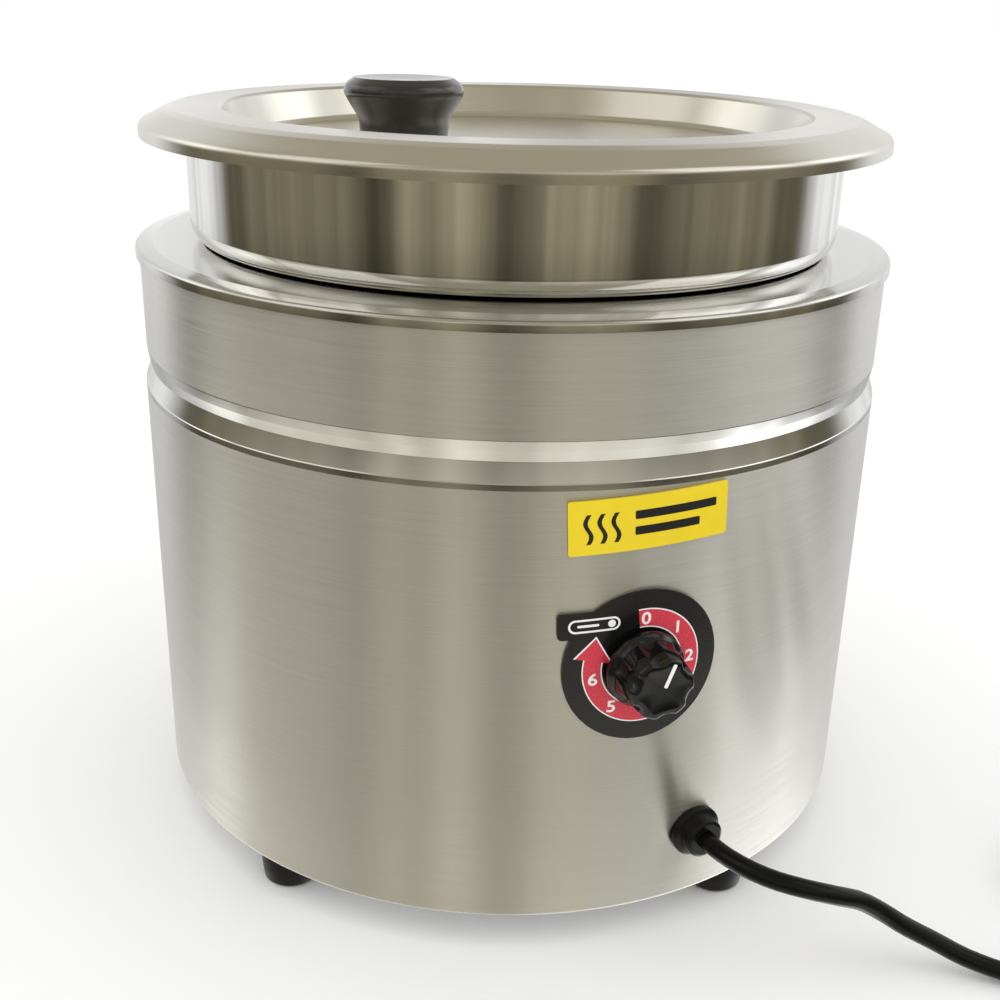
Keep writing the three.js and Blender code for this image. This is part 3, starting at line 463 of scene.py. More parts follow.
def smooth_route(points, step=4.0):
    """Points along a centripetal Catmull-Rom curve, evenly spaced."""
    places = [Vector(p) for p in points]
    ends = [2 * places[0] - places[1], *places, 2 * places[-1] - places[-2]]
    fine = []
    for a, b, c, d in zip(ends, ends[1:], ends[2:], ends[3:]):
        t0 = 0.0
        t1 = t0 + max((b - a).length, 1e-6) ** 0.5
        t2 = t1 + max((c - b).length, 1e-6) ** 0.5
        t3 = t2 + max((d - c).length, 1e-6) ** 0.5
        for k in range(12):
            t = t1 + (t2 - t1) * k / 12
            a1 = a * ((t1 - t) / (t1 - t0)) + b * ((t - t0) / (t1 - t0))
            a2 = b * ((t2 - t) / (t2 - t1)) + c * ((t - t1) / (t2 - t1))
            a3 = c * ((t3 - t) / (t3 - t2)) + d * ((t - t2) / (t3 - t2))
            b1 = a1 * ((t2 - t) / (t2 - t0)) + a2 * ((t - t0) / (t2 - t0))
            b2 = a2 * ((t3 - t) / (t3 - t1)) + a3 * ((t - t1) / (t3 - t1))
            fine.append(b1 * ((t2 - t) / (t2 - t1)) + b2 * ((t - t1) / (t2 - t1)))
    fine.append(places[-1])
    even, left = [fine[0]], step
    for p, q in zip(fine, fine[1:]):
        span = (q - p).length
        while span >= left:
            p = p + (q - p) * (left / span)
            span = (q - p).length
            even.append(p)
            left = step
        left -= span
    even.append(fine[-1])
    return even


# ---- Mains lead ---------------------------------------------------------------------------------

NOSE_END = DRUM_RADIUS + WALL_GAP + BUSHING_FLANGE + BUSHING_NOSE
LEAD_FLOOR = FLOOR_LEVEL + LEAD_RADIUS + 0.1
COIL_X, COIL_Y, COIL_MEAN = 235.0, -208.8, 42.0
PITCH = 2 * LEAD_RADIUS
COIL_EDGE = COIL_MEAN + PITCH
COIL_STEPS = 36  # points in each turn
COIL_TURNS = 5.25
JOG = 0.56  # turns that a strand takes to move one diameter in or out
CLIMB = (2.5, 0.5)  # where the inner strand goes up to the second layer
EXIT = polar(NOSE_END + 0.3, LEAD_TURN, LEAD_HEIGHT)
LEAD_ROUTE = [
    tuple(EXIT),
    (33.1, -179.6, 32.2),
    (38.2, -191.3, 32.1),
    (46.0, -200.3, 31.2),
    (56.1, -206.2, 29.3),
    (70.2, -209.3, 24.9),
    (80.5, -209.2, 20.3),
    (92.3, -209.5, 12.0),
    (100.8, -212.1, 5.9),
    (113.4, -217.1, -1.2),
    (123.0, -222.8, -6.1),
    (134.6, -230.9, -9.2),
    (147.0, -240.0, LEAD_FLOOR),
    (162.0, -249.2, LEAD_FLOOR),
    (178.0, -256.4, LEAD_FLOOR),
    (193.0, -260.4, LEAD_FLOOR),
    (206.4, -261.7, LEAD_FLOOR),
    (220.6, -262.0, LEAD_FLOOR),
]
PLUG_LEVEL = FLOOR_LEVEL + 11.3
PLUG_PLACE = Vector((COIL_X + COIL_EDGE, -183.0, PLUG_LEVEL))  # where the plug's relief starts


def smooth(t):
    t = max(0.0, min(1.0, t))
    return t * t * (3 - 2 * t)


def coil_point(turns):
    """Wound inwards on the ground, up at the inner edge, then outwards on top of the first layer."""
    inward = sum(smooth((turns - start) / JOG) for start in (-0.31, 0.69, 1.69))
    outward = sum(smooth((turns - start) / JOG) for start in (3.25, 4.25))
    radius = COIL_EDGE + PITCH * (1 - inward + outward)
    angle = math.radians(-90) + 2 * math.pi * turns
    height = LEAD_FLOOR + PITCH * smooth((turns - CLIMB[0]) / CLIMB[1])
    return (COIL_X + radius * math.cos(angle), COIL_Y + radius * math.sin(angle), height)


def lead_points():
    open_part = [tuple(p) for p in smooth_route([*LEAD_ROUTE, coil_point(0.0), coil_point(0.04)], 5.0)]
    while open_part[-1][0] > COIL_X - 3:
        open_part.pop()
    coil = [coil_point(i / COIL_STEPS) for i in range(int(COIL_TURNS * COIL_STEPS) + 1)]
    end = Vector(coil[-1])
    inside = PLUG_PLACE + Vector((0, 4, 0))
    tail = [tuple(end.lerp(inside, k / 6)) for k in range(1, 7)]
    return open_part + coil + tail


lead_line = lead_points()
lead = tube("mains_lead", lead_line, LEAD_RADIUS, "jacket", 24)
stands_for(lead, "kettle", "cord_jacket", "power_cord", "cord_coil")

# ---- More geometry helpers ----------------------------------------------------------------------


def replace_mesh(made, mesh):
    old = made.data
    made.data = mesh
    mesh.name = old.name
    if isinstance(old, bpy.types.Mesh):
        bpy.data.meshes.remove(old)
    else:
        bpy.data.curves.remove(old)


def evaluated(made):
    """The object's mesh with its modifiers, or its curve, worked out."""
    graph = bpy.context.evaluated_depsgraph_get()
    mesh = bpy.data.meshes.new_from_object(made.evaluated_get(graph))
    made.modifiers.clear()
    return mesh


def drill(made, turn, height, radius, depth=14.0):
    """Cuts a round hole through a turned wall, square to it."""
    work = bmesh.new()
    bmesh.ops.create_cone(
        work,
        cap_ends=True,
        segments=48,
        radius1=radius * MM,
        radius2=radius * MM,
        depth=2 * depth * MM,
        matrix=wall_frame(turn, height) @ Matrix.Translation((0, 0, DRUM_RADIUS * MM)),
    )
    mesh = bpy.data.meshes.new("cutter")
    work.to_mesh(mesh)
    work.free()
    cutter = bpy.data.objects.new("cutter", mesh)
    SCENE.collection.objects.link(cutter)
    cut = made.modifiers.new("hole", "BOOLEAN")
    cut.operation = "DIFFERENCE"
    cut.solver = "EXACT"
    cut.object = cutter
    replace_mesh(made, evaluated(made))
    bpy.data.objects.remove(cutter)


def paint(made, look, test):
    """Gives the faces that pass the test their own finish."""
    made.data.materials.append(LOOKS[look])
    index = len(made.data.materials) - 1
    for face in made.data.polygons:
        if test(face.center, face.normal):
            face.material_index = index


def between(low, high):
    return lambda centre, normal: low * MM < centre.z < high * MM


def faces_inwards(below):
    """The inside of a turned vessel, below a height."""

    def test(centre, normal):
        towards_axis = normal.x * centre.x + normal.y * centre.y < -0.2 * math.hypot(centre.x, centre.y)
        return centre.z < below * MM and (towards_axis or normal.z > 0.4)

    return test


def flat_shape(name, loops, thickness, look):
    """A flat plate from closed outlines; an outline inside another is a hole. Its back is at zero."""
    data = bpy.data.curves.new(name, "CURVE")
    data.dimensions = "2D"
    data.fill_mode = "BOTH"
    data.extrude = thickness / 2
    for loop in loops:
        spline = data.splines.new("POLY")
        spline.points.add(len(loop) - 1)
        for slot, (u, v) in zip(spline.points, loop):
            slot.co = (u, v, 0.0, 1.0)
        spline.use_cyclic_u = True
    return shaped(name, data, thickness, look)


def flat_text(name, text, size, place, thickness, look):
    data = bpy.data.curves.new(name, "FONT")
    data.body = text
    data.size = size
    data.align_x = "CENTER"
    data.align_y = "CENTER"
    data.offset = 0.14
    data.extrude = thickness / 2
    made = shaped(name, data, thickness, look)
    middle = sum((v.co for v in made.data.vertices), Vector()) / len(made.data.vertices)
    low = min(v.co.y for v in made.data.vertices)
    high = max(v.co.y for v in made.data.vertices)
    shift = Vector((place[0] - middle.x, place[1] - (low + high) / 2, 0))
    made.data.transform(Matrix.Translation(shift))
    return made


def shaped(name, data, thickness, look):
    made = bpy.data.objects.new(name, data)
    SCENE.collection.objects.link(made)
    mesh = evaluated(made)
    made_mesh = bpy.data.objects.new(name, mesh)
    SCENE.collection.objects.link(made_mesh)
    bpy.data.objects.remove(made)
    mesh.transform(Matrix.Translation((0, 0, thickness / 2)))
    mesh.materials.clear()
    mesh.materials.append(LOOKS[look])
    return made_mesh


def wrap(made, radius, height, step=2.0):
    """Bends a flat plate, made in millimetres, round the drum; its back lies on the radius."""
    work = bmesh.new()
    work.from_mesh(made.data)
    bmesh.ops.remove_doubles(work, verts=work.verts, dist=1e-4)
    left = min(v.co.x for v in work.verts)
    right = max(v.co.x for v in work.verts)
    cut = math.ceil(left / step) * step
    while cut < right:
        everything = work.verts[:] + work.edges[:] + work.faces[:]
        bmesh.ops.bisect_plane(work, geom=everything, dist=1e-4, plane_co=(cut, 0, 0), plane_no=(1, 0, 0))
        cut += step
    for vertex in work.verts:
        u, v, w = vertex.co
        angle = u / radius
        reach = radius + w
        vertex.co = (reach * math.sin(angle) * MM, -reach * math.cos(angle) * MM, (height + v) * MM)
    bmesh.ops.recalc_face_normals(work, faces=work.faces)
    work.to_mesh(made.data)
    work.free()
    made.data.shade_smooth()
    made.data.set_sharp_from_angle(angle=SMOOTH_ANGLE)
    return made


def joined(name, pieces):
    """One object from several meshes that share its place."""
    work = bmesh.new()
    for piece in pieces:
        work.from_mesh(piece.data)
    mesh = bpy.data.meshes.new(name)
    work.to_mesh(mesh)
    work.free()
    mesh.materials.append(pieces[0].data.materials[0])
    made = bpy.data.objects.new(name, mesh)
    SCENE.collection.objects.link(made)
    for piece in pieces:
        bpy.data.objects.remove(piece)
    mesh.shade_smooth()
    mesh.set_sharp_from_angle(angle=SMOOTH_ANGLE)
    return made


def rounded_box(left, right, low, high, corner, steps=6):
    outline = []
    for x, y, start in (
        (right - corner, high - corner, 0),
        (left + corner, high - corner, 90),
        (left + corner, low + corner, 180),
        (right - corner, low + corner, 270),
    ):
        outline += arc(x, y, corner, start, start + 90, steps)
    return outline


def loft(name, rings, look, angle=SMOOTH_ANGLE):
    """A closed skin through rings that have the same number of points."""
    vertices = [tuple(p) for ring in rings for p in ring]
    count = len(rings[0])
    faces = []
    for i in range(len(rings) - 1):
        for k in range(count):
            n = (k + 1) % count
            faces.append([i * count + k, i * count + n, (i + 1) * count + n, (i + 1) * count + k])
    faces.append(list(range(count))[::-1])
    faces.append([(len(rings) - 1) * count + k for k in range(count)])
    made = mesh_object(name, vertices, faces, look, angle)
    outward(made)
    return made


# ---- Drum ---------------------------------------------------------------------------------------


def make_drum():
    line = [
        (143.0, 1.5),
        *arc(163.0, 3.5, 2.0, -90, 0, 8),
        *[(DRUM_RADIUS, z) for z in (60.0, 120.0, 180.0)],
        *filleted(
            [
                (DRUM_RADIUS, 186.2, 0),
                (DRUM_RADIUS, 188.5, 0.2),
                (164.7, 188.9, 0.2),
                (162.3, 196.3, 0.35),
                (163.2, 200.5, 2.0),
                (BAND_RADIUS, 204.3, 3.0),
                (BAND_RADIUS, 215.0, 0),
            ],
            6,
        ),
        (BAND_RADIUS, 245.8),
    ]
    drum = lathe("drum_skin", closed_sheet(line, SHEET), "drum", loop=True)
    paint(drum, "groove", between(186.2, 204.6))
    drill(drum, 0.0, DIAL_HEIGHT, 5.3)
    drill(drum, LEAD_TURN, LEAD_HEIGHT, 8.3)
    drum.data.shade_smooth()
    drum.data.set_sharp_from_angle(angle=SMOOTH_ANGLE)
    return stands_for(drum, "kettle", "brushed_steel", "outer_shell")


def make_well():
    line = [
        (RIM_RADIUS, 243.4),
        *arc(RIM_RADIUS - 1.7, 245.8, 1.7, 0, 80, 8),
        *filleted([(160.8, 247.9, 0), (157.9, 248.3, 3.0), (150.0, 248.3, 0)], 5),
        (144.0, 248.3),
        *arc(138.5, 244.3, 4.0, 90, 180, 10),
        (WELL_RADIUS, 200.0),
        (WELL_RADIUS, 140.0),
        *arc(116.5, 90.0, 18.0, 0, -90, 14),
        (60.0, WELL_FLOOR),
        (0.0, WELL_FLOOR),
    ]
    skin = closed_sheet(line, SHEET)
    skin[-1] = (RIM_RADIUS - SHEET, 243.4)
    well = lathe("well_skin", skin, "deck", loop=True)
    paint(well, "inside", faces_inwards(240))
    return stands_for(well, "kettle", "satin_steel", "well_pan")


# ---- Pot, lid and its knob ----------------------------------------------------------------------


def make_pot():
    outer = [
        (0.0, POT_FLOOR),
        (60.0, POT_FLOOR),
        *arc(113.0, 100.0, 18.0, -90, 0, 14),
        (POT_BODY, 140.0),
        (POT_BODY, 200.0),
        *filleted([(POT_BODY, 240.0, 0), (131.3, 246.6, 1.5), (135.0, 247.7, 0)], 6)[:-1],
        *arc(132.5, 256.84, 9.5, -75, 0, 16),
        (POT_RADIUS, 270.0),
        (POT_RADIUS, 285.0),
        (POT_RADIUS, 296.4),
        *arc(143.7, 298.7, 2.9, -120, 150, 18),
    ]
    inner = [
        (POT_RADIUS - SHEET, 296.0),
        (POT_RADIUS - SHEET, 270.0),
        *arc(132.5, 256.84, 9.5 - SHEET, 0, -75, 12),
        (POT_BODY - SHEET, 246.0),
        (POT_BODY - SHEET, 200.0),
        (POT_BODY - SHEET, 140.0),
        *arc(113.0, 100.0, 18.0 - SHEET, 0, -90, 12),
        (60.0, POT_FLOOR + SHEET),
        (0.0, POT_FLOOR + SHEET),
    ]
    pot = lathe("pot_skin", [*outer, *inner], "pot")
    paint(pot, "inside", faces_inwards(296))
    return stands_for(pot, "pot", "polished_steel", "inset_pot")


def make_lid():
    top = [
        (LID_RADIUS, 291.7),
        (LID_RADIUS, 293.4),
        *arc(157.6, 294.7, 3.0, 0, 60, 8),
        *filleted([(156.4, 298.5, 0), (150.6, 301.6, 6.0), (146.6, 302.9, 3.0), (140.0, LID_TOP, 0)], 6),
        *filleted(
            [
                (133.0, LID_TOP, 0),
                (127.9, LID_TOP, 1.6),
                (126.1, 301.9, 1.2),
                (121.4, 289.4, 2.0),
                (118.4, DISH_FLOOR, 2.5),
                (112.0, DISH_FLOOR, 0),
            ],
            6,
        ),
        (90.0, DISH_FLOOR),
        (45.0, DISH_FLOOR),
        (0.0, DISH_FLOOR),
    ]
    under = offset(top, LID_SHEET)
    under[-1] = (0.0, DISH_FLOOR - LID_SHEET)
    section = [*reversed(top), *under]
    lid = lathe("lid_skin", section, "lid")
    return stands_for(lid, "lid_assembly", "satin_steel", "lid")


def make_lid_knob():
    height = 26.0
    base = DISH_FLOOR + 0.3
    line = filleted(
        [
            (0.0, base, 0),
            (19.2, base, 0.6),
            (19.8, base + 0.34 * height, 14.0),
            (23.1, base + 0.54 * height, 9.0),
            (26.5, base + 0.75 * height, 5.0),
            (25.4, base + 0.90 * height, 4.0),
            (21.6, base + height, 1.2),
            (18.5, base + height - 0.25, 3.0),
            (6.0, base + height - 1.0, 8.0),
            (0.0, base + height - 1.0, 0),
        ],
        8,
    )
    knob = lathe("lid_handle", line, "phenolic", MEDIUM)
    moved(knob, Matrix.Translation(polar(KNOB_OFFSET, KNOB_TURN) * MM))
    return stands_for(knob, "lid_assembly", "black_phenolic", "lid_knob")


# ---- Control knob, dial and label ---------------------------------------------------------------

PLATE_THICK = 0.8
PLATE_BACK = DRUM_RADIUS + WALL_GAP
PLATE_FACE = PLATE_BACK + PLATE_THICK
PRINT = 0.06
DIGIT_RING = 19.9
DIGIT_SIZE = 6.9
DIGIT_START = 89  # degrees, where 0 stands
DIGIT_STEP = 43
CONTROL_BACK = PLATE_FACE + 0.3 + 1.6
CONTROL_FACE = DRUM_RADIUS + 21.0


def fluted(radius, depth_share, angle):
    """The grip's radius at an angle: six soft flutes between rounded lobes."""
    flute_ring, flute_radius = 16.2 * radius / 12.4, 5.8
    nearest = round((angle - math.radians(POINTER_ANGLE + 30)) / math.radians(60))
    away = angle - math.radians(POINTER_ANGLE + 30) - nearest * math.radians(60)
    inside = flute_radius**2 - (flute_ring * math.sin(away)) ** 2
    cut = flute_ring * math.cos(away) - math.sqrt(inside) if inside > 0 else radius
    wanted = min(radius, cut)
    blend = 0.35  # softens the edge between lobe and flute
    soft = radius - math.sqrt(max(0.0, radius - wanted) ** 2 + blend**2) + blend
    return radius + (min(soft, radius) - radius) * depth_share


def make_control_knob():
    sides = 180
    stations = [
        (CONTROL_BACK, 14.9, 0.0),
        (CONTROL_BACK + 0.4, 15.5, 0.0),
        (CONTROL_BACK + 2.1, 15.6, 0.0),
        (CONTROL_BACK + 2.6, 15.3, 0.0),
        (CONTROL_BACK + 3.4, 14.6, 0.25),
        (CONTROL_BACK + 4.4, 14.0, 0.7),
        (CONTROL_BACK + 5.6, 13.7, 1.0),
        (CONTROL_BACK + 10.0, 13.2, 1.0),
        (CONTROL_FACE - 1.6, 12.6, 1.0),
        (CONTROL_FACE - 0.7, 12.3, 1.0),
        (CONTROL_FACE - 0.2, 11.8, 0.9),
        (CONTROL_FACE, 11.2, 0.8),
        (CONTROL_FACE - 0.15, 9.6, 0.5),
        (CONTROL_FACE - 0.35, 6.0, 0.15),
        (CONTROL_FACE - 0.35, 2.0, 0.0),
    ]
    rings = []
    for height, radius, share in stations:
        ring = []
        for k in range(sides):
            angle = 2 * math.pi * k / sides
            reach = fluted(radius, share, angle)
            ring.append((reach * math.cos(angle), reach * math.sin(angle), height))
        rings.append(ring)
    inner = [(height, 12.2) for height in (CONTROL_BACK, CONTROL_BACK + 0.1)]
    inner += [(CONTROL_BACK + 3.0, 11.5), (CONTROL_BACK + 3.2, 3.4), (CONTROL_FACE - 4.0, 3.3)]
    turns = [2 * math.pi * k / sides for k in range(sides)]
    back = [[(r * math.cos(a), r * math.sin(a), z) for a in turns] for z, r in reversed(inner)]
    knob = loft("knob_skin", [*back, *rings], "gloss", angle=math.radians(50))
    moved(knob, wall_frame(0.0, DIAL_HEIGHT))
    return stands_for(knob, "control", "black_gloss", "control_knob")


def make_pointer():
    outline = rounded_box(1.2, 11.0, -0.7, 0.7, 0.4, 4)
    mark = flat_shape("pointer_line", [outline], 0.35, "white")
    mark.data.transform(Matrix.Rotation(math.radians(POINTER_ANGLE), 4, "Z"))
    mark.data.transform(Matrix.Translation((0, 0, CONTROL_FACE - 0.2)))
    mark.data.transform(Matrix.Scale(MM, 4))
    moved(mark, wall_frame(0.0, DIAL_HEIGHT))
    return stands_for(mark, "control", "white_print", "knob_pointer")


def plate_outline():
    """The dial's disc with a tab at its upper left, as one outline."""
    radius, low, high, left, corner = 31.5, 14.6, 25.2, -33.0, 2.0
    join_low = math.degrees(math.asin(low / radius))
    join_high = math.degrees(math.asin(high / radius))
    start = 180 - join_low
    outline = arc(0, 0, radius, start, start + 360 - (join_high - join_low), 120)
    outline += arc(left + corner, high - corner, corner, 90, 180, 6)
    outline += arc(left + corner, low + corner, corner, 180, 270, 6)
    return outline


def print_on_plate(name, pieces, slot):
    wrapped = [wrap(piece, PLATE_FACE, DIAL_HEIGHT) for piece in pieces]
    made = joined(name, wrapped) if len(wrapped) > 1 else wrapped[0]
    return stands_for(made, "kettle", slot)


def arrow_band(inner, outer, barb, tip):
    """The red arc, clockwise from its square start to the arrowhead beside the tab."""
    start, end = 97.0, -191.0
    mid = (inner + outer) / 2
    outline = arc(0, 0, outer, start, end, 90)
    last = math.radians(end)
    along = Vector((math.sin(last), -math.cos(last)))
    out = Vector((math.cos(last), math.sin(last)))
    base = out * mid
    outline.append(tuple(base + out * barb))
    outline.append(tuple(base + along * tip + out * (tip * 0.12)))
    outline.append(tuple(base - out * barb))
    outline += arc(0, 0, inner, end, start, 80)
    return outline


def widened(place, share=1.14):
    """Widens a mark about its own middle."""
    here = Matrix.Translation((place[0], place[1], 0))
    return here @ Matrix.Diagonal((share, 1, 1, 1)) @ here.inverted()


def make_dial():
    plate = flat_shape("dial_face", [plate_outline(), arc(0.0, 0.0, 5.6, 0, 354, 40)], PLATE_THICK, "dial")
    tilt = Matrix.Rotation(math.radians(LABEL["tilt"]), 4, "Z")
    plate.data.transform(tilt)
    wrap(plate, PLATE_BACK, DIAL_HEIGHT)
    stands_for(plate, "kettle", "dial_print", "dial_plate")
    outline = flat_shape("dial_outline", [arrow_band(16.2, 24.0, 7.9, 10.4)], PRINT * 0.5, "white")
    print_on_plate("dial_outline", [outline], "white_print")
    band = flat_shape("dial_arrow", [arrow_band(16.7, 23.5, 7.1, 9.4)], PRINT, "red")
    print_on_plate("dial_arrow", [band], "dial_print")
    digits = []
    for number in range(7):
        angle = math.radians(DIGIT_START - DIGIT_STEP * number)
        place = (DIGIT_RING * math.cos(angle), DIGIT_RING * math.sin(angle))
        digit = flat_text(f"digit_{number}", str(number), DIGIT_SIZE, place, PRINT * 1.6, "white")
        digit.data.transform(widened(place))
        digits.append(digit)
    print_on_plate("dial_numbers", digits, "white_print")
    track = [
        rounded_box(-29.0, -9.0, 17.1, 22.7, 2.79, 8),
        rounded_box(-28.2, -9.8, 17.9, 21.9, 1.99, 8),
    ]
    marks = [
        flat_shape("dial_mark_ring", track, PRINT, "white"),
        flat_shape("dial_mark_dot", [arc(-12.3, 19.9, 1.5, 0, 345, 23)], PRINT, "white"),
        flat_shape("dial_mark_bar", [rounded_box(-25.6, -17.2, 19.4, 20.4, 0.49, 3)], PRINT, "white"),
    ]
    for mark in marks:
        mark.data.transform(tilt)
    print_on_plate("dial_mark", marks, "white_print")


def make_label():
    width, height = LABEL["width"], LABEL["height"]
    tilt = Matrix.Rotation(math.radians(LABEL["tilt"]), 4, "Z")
    outline = rounded_box(-width / 2, width / 2, -height / 2, height / 2, 1.0, 4)
    face = flat_shape("label_face", [outline], PLATE_THICK, "yellow")
    face.data.transform(tilt)
    wrap(face, PLATE_BACK, LABEL["centre"])
    stands_for(face, "kettle", "yellow_label", "heat_label")
    marks = []
    for k in range(3):
        x = -25.0 + 5.2 * k
        left = [(x + 1.1 * math.sin(t * 0.6), -6.4 + t * 1.05) for t in range(0, 12)]
        right = [(u + 1.7, v) for u, v in reversed(left)]
        marks.append(flat_shape(f"label_wave_{k}", [left + right], PRINT, "ink"))
    for low, high, right in ((1.6, 4.9, 26.5), (-4.6, -1.3, 19.5)):
        marks.append(flat_shape("label_bar", [rounded_box(-6.5, right, low, high, 0.5, 3)], PRINT, "ink"))
    for mark in marks:
        mark.data.transform(tilt)
    made = joined("label_marks", [wrap(m, PLATE_FACE, LABEL["centre"]) for m in marks])
    stands_for(made, "kettle", "yellow_label")


# ---- Bushing, feet, base and plug ---------------------------------------------------------------


def make_bushing():
    seat = DRUM_RADIUS + WALL_GAP
    line = filleted(
        [
            (LEAD_RADIUS + 0.05, seat - 13.3, 0),
            (7.6, seat - 13.3, 0.8),
            (8.0, seat - 9.0, 0.5),
            (8.0, seat, 0.1),
            (11.0, seat, 0.5),
            (11.0, seat + 2.4, 0.9),
            (9.6, seat + 3.0, 0.5),
            (8.7, seat + 3.2, 0.4),
            (8.3, seat + 8.0, 0.8),
            (7.0, seat + 8.7, 0.5),
            (LEAD_RADIUS + 0.05, seat + 8.7, 0),
        ],
        5,
    )
    bush = lathe("bushing_skin", line, "nylon", 72, loop=True)
    moved(bush, wall_frame(LEAD_TURN, LEAD_HEIGHT))
    stands_for(bush, "kettle", "black_nylon", "cord_bushing")


def make_feet():
    for number, turn in enumerate(FOOT_TURNS, 1):
        line = filleted(
            [
                (2.6, -0.02, 0),
                (13.0, -0.02, 0.7),
                (12.6, -8.0, 2.0),
                (12.0, FLOOR_LEVEL, 1.4),
                (6.4, FLOOR_LEVEL, 0.5),
                (6.0, FLOOR_LEVEL + 5.2, 0.4),
                (2.6, FLOOR_LEVEL + 5.2, 0),
            ],
            5,
        )
        foot = lathe(f"foot_pad_{number}", line, "rubber", 64, loop=True)
        moved(foot, Matrix.Translation(polar(FOOT_RING, turn) * MM))
        stands_for(foot, "kettle", "black_rubber", f"foot_{number}")


def make_plug():
    x, y, z = PLUG_PLACE
    rings = []
    for station, width, height, corner in (
        (0.0, 8.8, 8.8, 4.39),
        (1.0, 9.6, 9.6, 4.7),
        (8.0, 10.6, 10.6, 5.2),
        (9.0, 9.4, 9.4, 4.6),
        (10.5, 9.4, 9.4, 4.6),
        (11.5, 11.4, 11.4, 5.6),
        (18.0, 12.4, 12.4, 6.1),
        (19.0, 11.0, 11.0, 5.4),
        (20.5, 11.0, 11.0, 5.4),
        (21.5, 13.4, 13.2, 6.5),
        (29.0, 14.4, 14.0, 6.9),
        (31.0, 17.5, 16.6, 7.0),
        (34.5, 22.5, 20.6, 7.2),
        (39.0, 25.2, 22.2, 7.2),
        (44.0, 25.4, 22.0, 7.2),
        (50.0, 23.6, 20.8, 7.0),
        (56.0, 24.4, 21.4, 7.0),
        (60.0, 26.0, 22.6, 7.0),
        (65.3, 26.0, 22.6, 7.0),
        (66.0, 24.8, 21.4, 6.4),
    ):
        outline = rounded_box(-width / 2, width / 2, -height / 2, height / 2, corner, 8)
        rings.append([(x + u, y + station, z + v) for u, v in outline])
    plug = loft("plug_shell", rings, "nylon", angle=math.radians(40))
    stands_for(plug, "kettle", "black_nylon", "plug_body")


FINISHES = {
    "brushed_steel": "drum",
    "satin_steel": "deck",
    "polished_steel": "pot",
    "plated_steel": "zinc",
    "black_phenolic": "phenolic",
    "black_gloss": "gloss",
    "white_print": "white",
    "dial_print": "dial",
    "yellow_label": "yellow",
    "black_rubber": "rubber",
    "cord_jacket": "jacket",
    "black_nylon": "nylon",
    "mineral_wool": "wool",
    "ceramic": "ceramic",
    "brass": "brass",
    "copper": "copper",
    "wire_red": "wire_red",
    "wire_white": "wire_white",
    "wire_green": "wire_green",
}


def finish_inner_nodes():
    """The CAD nodes that stay visible take the finish their record row names."""
    for row in frame["record"]["subparts"]:
        node = frame["nodes"][row["node"]]
        for slot in node.material_slots:
            slot.material = LOOKS[FINISHES[row["material_slot"]]]


make_drum()
make_well()
make_pot()
make_lid()
make_lid_knob()
make_control_knob()
make_pointer()
make_dial()
make_label()
make_bushing()
make_feet()
make_plug()
finish_inner_nodes()

# ---- Room and light -----------------------------------------------------------------------------

STUDIO_HALF = [  # degrees to either side of the camera, then how bright the studio is there
    (0, 0.10),  # the camera
    (15, 0.30),
    (30, 0.30),
    (45, 0.08),  # a black flag
    (60, 0.20),
    (90, 0.20),
    (110, 0.10),  # a black flag
    (125, 0.85),  # the white wall starts
    (180, 0.90),
]
WALL_START = 120
WARM = (1.0, 0.9, 0.6)  # the tint of the studio's front
WHITE = (1.0, 1.0, 1.0)


def studio_tone(angle, level):
    return (angle, tinted(WHITE if abs(angle) > WALL_START else WARM, level))


ROOM_STOPS = [studio_tone(-angle, level) for angle, level in reversed(STUDIO_HALF[1:])]
ROOM_STOPS += [studio_tone(angle, level) for angle, level in STUDIO_HALF]
UPPER_STOPS = [  # degrees round from the camera's side, then the tone, well above the rim
    (-180, (0.70, 0.70, 0.69)),
    (-138, (0.85, 0.85, 0.84)),
    (-120, (1.5, 1.48, 1.42)),
    (-106, (1.4, 1.38, 1.3)),
    (-92, (0.66, 0.63, 0.55)),
    (-50, (0.55, 0.52, 0.43)),
    (-20, (0.58, 0.55, 0.45)),
    (0, (0.46, 0.44, 0.37)),
    (18, (0.62, 0.59, 0.50)),
    (50, (0.60, 0.57, 0.49)),
    (78, (0.80, 0.78, 0.71)),
    (98, (1.1, 1.1, 1.08)),
    (118, (1.8, 1.8, 1.8)),
    (142, (0.90, 0.90, 0.90)),
    (180, (0.70, 0.70, 0.69)),
]
FLOOR_STOPS = [  # the same, for the counter below
    (-180, (0.88, 0.88, 0.87)),
    (-140, (1.1, 1.1, 1.08)),
    (-124, (2.0, 1.98, 1.92)),
    (-108, (2.0, 1.98, 1.90)),
    (-92, (0.80, 0.78, 0.68)),
    (-40, (0.72, 0.69, 0.57)),
    (-6, (0.90, 0.87, 0.73)),
    (2, (0.62, 0.60, 0.50)),
    (16, (0.85, 0.83, 0.71)),
    (66, (0.90, 0.89, 0.82)),
    (82, (1.8, 1.8, 1.78)),
    (94, (2.4, 2.4, 2.4)),
    (112, (2.9, 2.9, 2.9)),
    (128, (2.8, 2.8, 2.8)),
    (142, (1.2, 1.2, 1.2)),
    (180, (0.88, 0.88, 0.87)),
]


def ramp(tree, factor, stops):
    made = tree.nodes.new("ShaderNodeValToRGB")
    band = made.color_ramp
    band.interpolation = "EASE"
    while len(band.elements) > 1:
        band.elements.remove(band.elements[-1])
    for i, (angle, tone) in enumerate(stops):
        place = (angle + 180) / 360
        element = band.elements[0] if i == 0 else band.elements.new(place)
        element.position = place
        element.color = (*tone, 1.0)
    tree.links.new(factor, made.inputs[0])
    return made.outputs[0]


